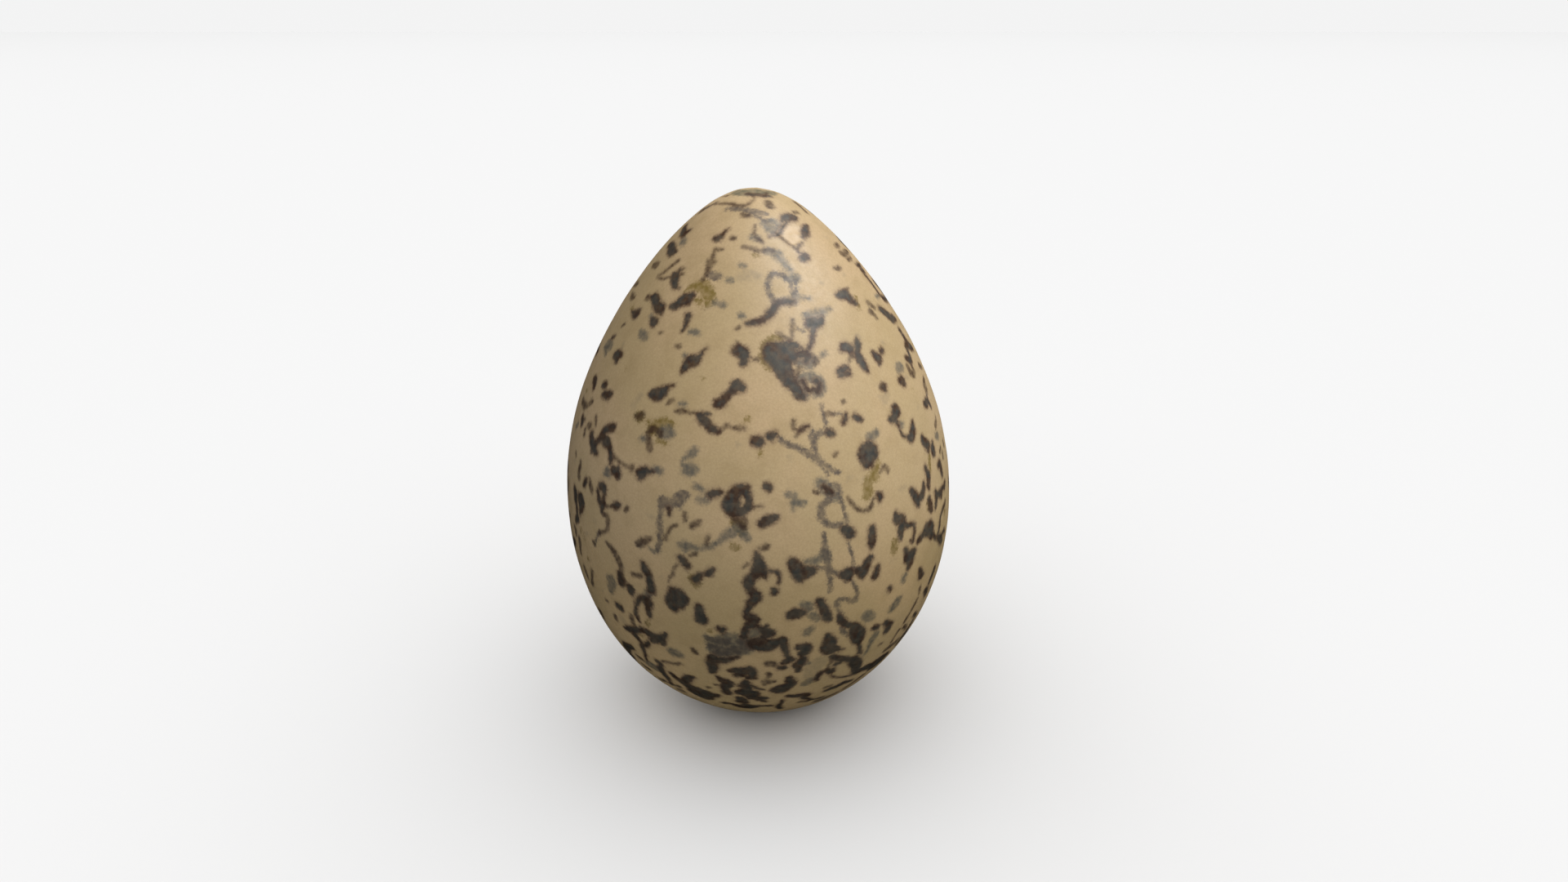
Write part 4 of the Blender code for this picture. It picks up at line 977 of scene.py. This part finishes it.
def curve_depth(points, curve):
    """How far inside one stroke each point is."""
    starts = curve[:-1, :3]
    along = curve[1:, :3] - starts
    offset = points[:, None, :] - starts
    share = (offset * along).sum(axis=2) / np.maximum((along**2).sum(axis=1), TINY)
    share = np.clip(share, 0, 1)
    gap = np.linalg.norm(offset - share[:, :, None] * along, axis=2)
    width = curve[:-1, 3] + share * np.diff(curve[:, 3])
    return (width - gap).max(axis=1)


def field_depths(points, curves):
    """For each point, the depth inside the nearest marking in millimetres, below 0 outside."""
    depth = np.full(len(points), -REACH)
    order = np.argsort(points[:, 2])
    ranked = points[order]
    for curve in curves:
        middle = curve[:, :3].mean(axis=0)
        far = np.linalg.norm(curve[:, :3] - middle, axis=1).max() + curve[:, 3].max() + REACH
        first, last = np.searchsorted(ranked[:, 2], (middle[2] - far, middle[2] + far))
        inside = ((ranked[first:last] - middle) ** 2).sum(axis=1) < far**2
        near = order[first:last][inside]
        if len(near) > 0:
            own = np.maximum(curve_depth(points[near], curve), -REACH)
            depth[near] = merged(depth[near], own)
    return depth


def warped(points):
    """The points moved a little, so that the markings' edges wander as pigment does."""
    shift = [noise.noise_vector(Vector(point) / WARP_SIZE) for point in points]
    return points + WARP * np.array(shift)


def first_sphere():
    """Vertices and triangles of an even unit sphere."""
    ball = bmesh.new()
    bmesh.ops.create_icosphere(ball, subdivisions=FIRST_LEVELS, radius=1)
    vertices = np.array([vertex.co[:] for vertex in ball.verts])
    faces = np.array([[vertex.index for vertex in face.verts] for face in ball.faces])
    ball.free()
    return vertices, faces


def edges_of(faces, count):
    """Each edge once, as its two vertices, and the numbers of each triangle's edges."""
    ends = np.stack([faces, np.roll(faces, -1, axis=1)], axis=2).reshape(-1, 2)
    codes, numbers = np.unique(ends.min(axis=1) * count + ends.max(axis=1), return_inverse=True)
    return np.column_stack([codes // count, codes % count]), numbers.reshape(-1, 3)


def cut_through(faces, middles):
    """Triangles cut through those of their edges that have a middle, which is 0 or more."""
    has = middles >= 0
    count = has.sum(axis=1)
    turn = np.where(count == 1, has.argmax(axis=1), has.argmin(axis=1) + 1)
    order = (turn[:, None] + np.arange(3)) % 3
    a, b, c = np.take_along_axis(faces, order, axis=1).T
    ab, bc, ca = np.take_along_axis(middles, order, axis=1).T
    cuts = (
        (0, a, b, c),
        (1, a, ab, c),
        (1, ab, b, c),
        (2, ab, b, bc),
        (2, a, ab, bc),
        (2, a, bc, c),
        (3, a, ab, ca),
        (3, ab, b, bc),
        (3, ca, bc, c),
        (3, ab, bc, ca),
    )
    return np.vstack([np.column_stack(corners)[count == cut] for cut, *corners in cuts])


def all_fields(directions, kinds):
    """The depths of every kind of marking at these directions, a row for each kind."""
    points = warped(even_points(directions))
    return np.array([field_depths(points, curves) for curves in kinds.values()])


def worth_cutting(starts, ends, middles, length):
    """Whether an edge is too long for what the sharp markings do between its ends."""
    highest = np.maximum(np.maximum(starts, ends), middles)
    lowest = np.minimum(np.minimum(starts, ends), middles)
    bent = np.abs(middles - (starts + ends) / 2) > TOLERANCE
    shown = (highest > OUTER) & (lowest < INNER)
    near = (length > COARSE) & (highest > -COARSE)
    return (near | (bent & shown)).any(axis=0)


def marked_sphere(kinds):
    """Directions and triangles of a sphere that is finer at the markings, and their fields."""
    directions, faces = first_sphere()
    depths = all_fields(directions, kinds)
    sharp = [number for number, kind in enumerate(kinds) if kind in SHARP_KINDS]
    for _ in range(REFINEMENTS):
        edges, numbers = edges_of(faces, len(directions))
        points = even_points(directions)
        length = np.linalg.norm(points[edges[:, 0]] - points[edges[:, 1]], axis=1)
        middles = directions[edges].sum(axis=1)
        middles /= np.linalg.norm(middles, axis=1)[:, None]
        found = all_fields(middles, kinds)
        starts, ends = depths[sharp][:, edges[:, 0]], depths[sharp][:, edges[:, 1]]
        cut = worth_cutting(starts, ends, found[sharp], length)
        names = np.full(len(edges), -1)
        names[cut] = len(directions) + np.arange(cut.sum())
        faces = cut_through(faces, names[numbers])
        directions = np.vstack([directions, middles[cut]])
        depths = np.hstack([depths, found[:, cut]])
    return directions, faces, dict(zip(kinds, depths))


def noise_at(points, size):
    """Smooth noise of a size at each point, between about -1 and 1."""
    return np.array([noise.noise(Vector(point) / size) for point in points])


def relief(points, depths):
    """Height of the shell's own relief at each point, above the even oval."""
    height = SWELL_HEIGHT * noise_at(points, SWELL_SIZE) + RIPPLE_HEIGHT * noise_at(points, RIPPLE_SIZE)
    reach = np.hypot(points[:, 0], points[:, 1]) / WORN_RADIUS
    worn = (points[:, 2] > LENGTH / 2) & (reach < 1)
    crust = CRUST_HEIGHT * noise_at(points[worn], CRUST_SIZE) - WORN_DEPTH
    height[worn] += crust * (1 - reach[worn] ** 2)
    flake = np.clip(depths["chip"] / CHIP_EDGE + 0.5, 0, 1)
    return height - CHIP_DEPTH * flake


def shell_points(directions, depths):
    """The uneven shell, set over the CAD solid's box and cut flat underneath."""
    points = even_points(directions)
    upright = points + np.array([0, 0, FOOT_DEPTH])
    points += directions * relief(upright, depths)[:, None]
    points[:, 2] = np.maximum(points[:, 2], 0)
    low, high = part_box("egg")
    middle = (points.max(axis=0) + points.min(axis=0)) / 2
    points[:, 0] += (low.x + high.x) / 2 / METRES - middle[0]
    points[:, 1] += (low.y + high.y) / 2 / METRES - middle[1]
    return points


def height_radius(height):
    """The oval's radius at a height above the floor."""
    return np.interp(-(height + FOOT_DEPTH), -HEIGHTS, RADII)


def wandering_stroke(chance, width, steps):
    """A stroke that wanders from a hidden place of the shell and thins towards its end."""
    height = chance.triangular(*HIDDEN_HEIGHTS)
    seen = np.interp(height, *SEEN)
    azimuth = chance.uniform(seen, 360 - seen)
    heading = chance.uniform(0, math.tau)
    stroke = []
    for number in range(steps):
        share = 1 - THINNING * number / steps
        stroke.append((azimuth, height, width * share * chance.uniform(*WIDTH_SHARES)))
        step = chance.uniform(*STEP_LENGTHS) * (width + STEP_LENGTHS[0])
        azimuth += math.degrees(step * math.cos(heading) / height_radius(height))
        height = min(max(height + step * math.sin(heading), LOWEST_MARK), HIGHEST_MARK)
        heading += chance.gauss(0, BEND)
    return tuple(stroke)


def hidden_marks(chance):
    """Strokes of every kind for the sides that the photograph doesn't show."""
    strokes = {kind: [] for kind in KINDS}
    for kind, (count, widths, steps) in HIDDEN_MARKS.items():
        for _ in range(count):
            width = chance.uniform(*widths)
            strokes[kind].append(wandering_stroke(chance, width, chance.randint(*steps)))
    return strokes


def shell_piece():
    """The egg's shell with a float attribute for each kind of marking."""
    hidden = hidden_marks(random.Random(HIDDEN_SEED))
    kinds = {kind: [stroke_curve(stroke) for stroke in KINDS[kind] + hidden[kind]] for kind in KINDS}
    noise.seed_set(WARP_SEED)
    directions, faces, depths = marked_sphere(kinds)
    points = shell_points(directions, depths)
    mesh = bpy.data.meshes.new("egg_shell")
    mesh.from_pydata((points * METRES).tolist(), [], faces.tolist())
    for kind, depth in depths.items():
        mesh.attributes.new(kind, "FLOAT", "POINT").data.foreach_set("value", depth)
    mesh.shade_smooth()
    mesh.materials.append(shell_material())
    return linked("egg_shell", mesh)


def linked(name, data):
    """A new object in the scene."""
    made = bpy.data.objects.new(name, data)
    bpy.context.scene.collection.objects.link(made)
    return made


def feed(tree, socket, value):
    """Joins another node's output to a socket, or sets the socket's own value."""
    if isinstance(value, bpy.types.NodeSocket):
        tree.links.new(value, socket)
    else:
        socket.default_value = value


def grain(tree, size, detail):
    """Noise of a size in millimetres over the shell, as a number about 0.5."""
    place = tree.nodes.new("ShaderNodeTexCoord")
    texture = tree.nodes.new("ShaderNodeTexNoise")
    texture.inputs["Scale"].default_value = 1 / (size * METRES)
    texture.inputs["Detail"].default_value = detail
    tree.links.new(place.outputs["Object"], texture.inputs["Vector"])
    return texture.outputs["Fac"]


def maths(tree, operation, one, two):
    """The result of a sum on two numbers."""
    made = tree.nodes.new("ShaderNodeMath")
    made.operation = operation
    feed(tree, made.inputs[0], one)
    feed(tree, made.inputs[1], two)
    return made.outputs[0]


def ramp(tree, value, low, high, start=0.0, end=1.0):
    """A smooth step from start to end as a value goes from low to high."""
    made = tree.nodes.new("ShaderNodeMapRange")
    made.interpolation_type = "SMOOTHSTEP"
    feed(tree, made.inputs["Value"], value)
    made.inputs["From Min"].default_value = low
    made.inputs["From Max"].default_value = high
    made.inputs["To Min"].default_value = start
    made.inputs["To Max"].default_value = end
    return made.outputs["Result"]


def clouds(tree, size, detail, low, high, start=0.0, end=1.0):
    """Noise over the shell, drawn out to soft patches that go from start to end."""
    return ramp(tree, grain(tree, size, detail), low, high, start, end)


def blend(tree, share, under, over, way="MIX"):
    """Two colours mixed by a share of the upper one."""
    made = tree.nodes.new("ShaderNodeMix")
    made.data_type = "RGBA"
    made.blend_type = way
    feed(tree, made.inputs[MIX_SHARE], share)
    feed(tree, made.inputs[MIX_UNDER], under)
    feed(tree, made.inputs[MIX_OVER], over)
    return made.outputs[MIX_RESULT]


def field(tree, kind, wander, fuzz):
    """A marking's depth in millimetres, its edge roughened by broad and fine noise."""
    depth = tree.nodes.new("ShaderNodeAttribute")
    depth.attribute_name = kind
    broad = maths(tree, "MULTIPLY", maths(tree, "SUBTRACT", wander, NOISE_MIDDLE), EDGE_WANDER)
    fine = maths(tree, "MULTIPLY", maths(tree, "SUBTRACT", fuzz, NOISE_MIDDLE), EDGE_FUZZ[kind])
    return maths(tree, "ADD", depth.outputs["Fac"], maths(tree, "ADD", broad, fine))


def ground_colour(tree):
    """The buff shell under the markings, mottled broadly and finely."""
    ground = BUFF
    for size, detail, low, high, strength, tone in MOTTLES:
        share = clouds(tree, size, detail, low, high, 0.0, strength)
        ground = blend(tree, share, ground, tone)
    return ground


def with_painted_shade(tree, colour):
    """The shell's whole colour with painted shade, darker and yellower towards the blunt end."""
    place = tree.nodes.new("ShaderNodeTexCoord")
    parts = tree.nodes.new("ShaderNodeSeparateXYZ")
    tree.links.new(place.outputs["Object"], parts.inputs["Vector"])
    low, high = (height * METRES for height in PAINTED_SHADE_HEIGHTS)
    share = ramp(tree, parts.outputs["Z"], low, high, 1.0, 0.0)
    return blend(tree, share, colour, PAINTED_SHADE_WASH, "MULTIPLY")


def ink_colour(tree, depth):
    """Brown at the rim, then near black, with blue grey places inside."""
    core = blend(tree, clouds(tree, *INK_CLOUDS), INK_BROWN, INK_GREY)
    inside = ramp(tree, depth, *BLUE_DEPTHS)
    blue = maths(tree, "MULTIPLY", inside, clouds(tree, *BLUE_CLOUDS))
    core = blend(tree, blue, core, INK_BLUE)
    return blend(tree, ramp(tree, depth, *RIM_DEPTHS), INK_RIM, core)


def pigmented(tree):
    """The ground with its coats of pigment, from the deepest to the uppermost, under painted shade
    towards the blunt end.
    """
    wander = grain(tree, WANDER_SIZE, WANDER_DETAIL)
    fuzz = grain(tree, FUZZ_SIZE, FUZZ_DETAIL)
    patchy = grain(tree, PATCH_SIZE, PATCH_DETAIL)
    colour = ground_colour(tree)
    for kind, low, high, strength, uneven, coat in COATS:
        depth = field(tree, kind, wander, fuzz)
        cover = ramp(tree, depth, low, high, 0.0, strength)
        thin = ramp(tree, patchy, *PATCHES, 1 - uneven, 1.0)
        tone = coat or ink_colour(tree, depth)
        colour = blend(tree, maths(tree, "MULTIPLY", cover, thin), colour, tone)
    # painted shade over the whole colour, darker towards the blunt end
    return with_painted_shade(tree, colour)


def pored(tree):
    """The shell's direction of surface, with fine pores."""
    bump = tree.nodes.new("ShaderNodeBump")
    bump.inputs["Strength"].default_value = PORE_STRENGTH
    bump.inputs["Distance"].default_value = PORE_DEPTH * METRES
    tree.links.new(grain(tree, PORE_SIZE, PORE_DETAIL), bump.inputs["Height"])
    return bump.outputs["Normal"]


def shell_material():
    """Matt eggshell, marked and a little glossier in clouds."""
    material = bpy.data.materials.new("shell")
    material.use_nodes = True
    tree = material.node_tree
    surface = tree.nodes["Principled BSDF"]
    tree.links.new(pigmented(tree), surface.inputs["Base Color"])
    tree.links.new(clouds(tree, *GLOSS_CLOUDS, *ROUGHNESS), surface.inputs["Roughness"])
    surface.inputs["Specular IOR Level"].default_value = SHEEN
    tree.links.new(pored(tree), surface.inputs["Normal"])
    return material


def floor_piece():
    """A wide, plain, pale floor that the shell's gloss doesn't mirror."""
    shape = bmesh.new()
    bmesh.ops.create_grid(shape, x_segments=1, y_segments=1, size=FLOOR_SIZE)
    mesh = bpy.data.meshes.new("floor")
    shape.to_mesh(mesh)
    shape.free()
    material = bpy.data.materials.new("floor")
    material.use_nodes = True
    surface = material.node_tree.nodes["Principled BSDF"]
    surface.inputs["Base Color"].default_value = FLOOR_COLOUR
    surface.inputs["Roughness"].default_value = 1.0
    surface.inputs["Specular IOR Level"].default_value = 0.0
    mesh.materials.append(material)
    floor = linked("floor", mesh)
    floor.visible_glossy = False
    return floor


def soft_light(name, place, size, power, colour, lit):
    """A square soft light that faces the egg and lights only one object."""
    light = bpy.data.lights.new(name, "AREA")
    light.size = size
    light.energy = power
    light.color = colour
    lamp = linked(name, light)
    lamp.location = place
    lamp.rotation_euler = (Vector(EGG_MIDDLE) - Vector(place)).to_track_quat("-Z", "Y").to_euler()
    lamp.visible_camera = False
    lamp.visible_glossy = name not in MATT_LIGHTS
    lamp.light_linking.receiver_collection = bpy.data.collections.new(name)
    lamp.light_linking.receiver_collection.objects.link(lit)


def daylight():
    """A pale surrounding that shows only behind the floor."""
    world = bpy.data.worlds.new("studio")
    world.use_nodes = True
    sky = world.node_tree.nodes["Background"]
    sky.inputs["Color"].default_value = SKY_COLOUR
    sky.inputs["Strength"].default_value = SKY_STRENGTH
    world.cycles_visibility.diffuse = False
    world.cycles_visibility.glossy = False
    bpy.context.scene.world = world


def photo_camera():
    """The camera at the photograph's height, distance and angle."""
    lens = bpy.data.cameras.new("camera")
    lens.sensor_fit = "VERTICAL"
    lens.angle = VIEW_ANGLE
    lens.clip_start, lens.clip_end = CAMERA_CLIP
    camera = linked("camera", lens)
    camera.location = CAMERA_PLACE
    camera.rotation_euler = (math.pi / 2 - CAMERA_PITCH, 0, 0)
    bpy.context.scene.camera = camera


def main():
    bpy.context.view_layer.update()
    shell = shell_piece()
    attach(shell, "root")
    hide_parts("egg")
    floor = floor_piece()
    daylight()
    for *light, for_egg in LIGHTS:
        soft_light(*light, shell if for_egg else floor)
    photo_camera()
    bpy.context.scene.view_settings.view_transform = "Standard"


main()
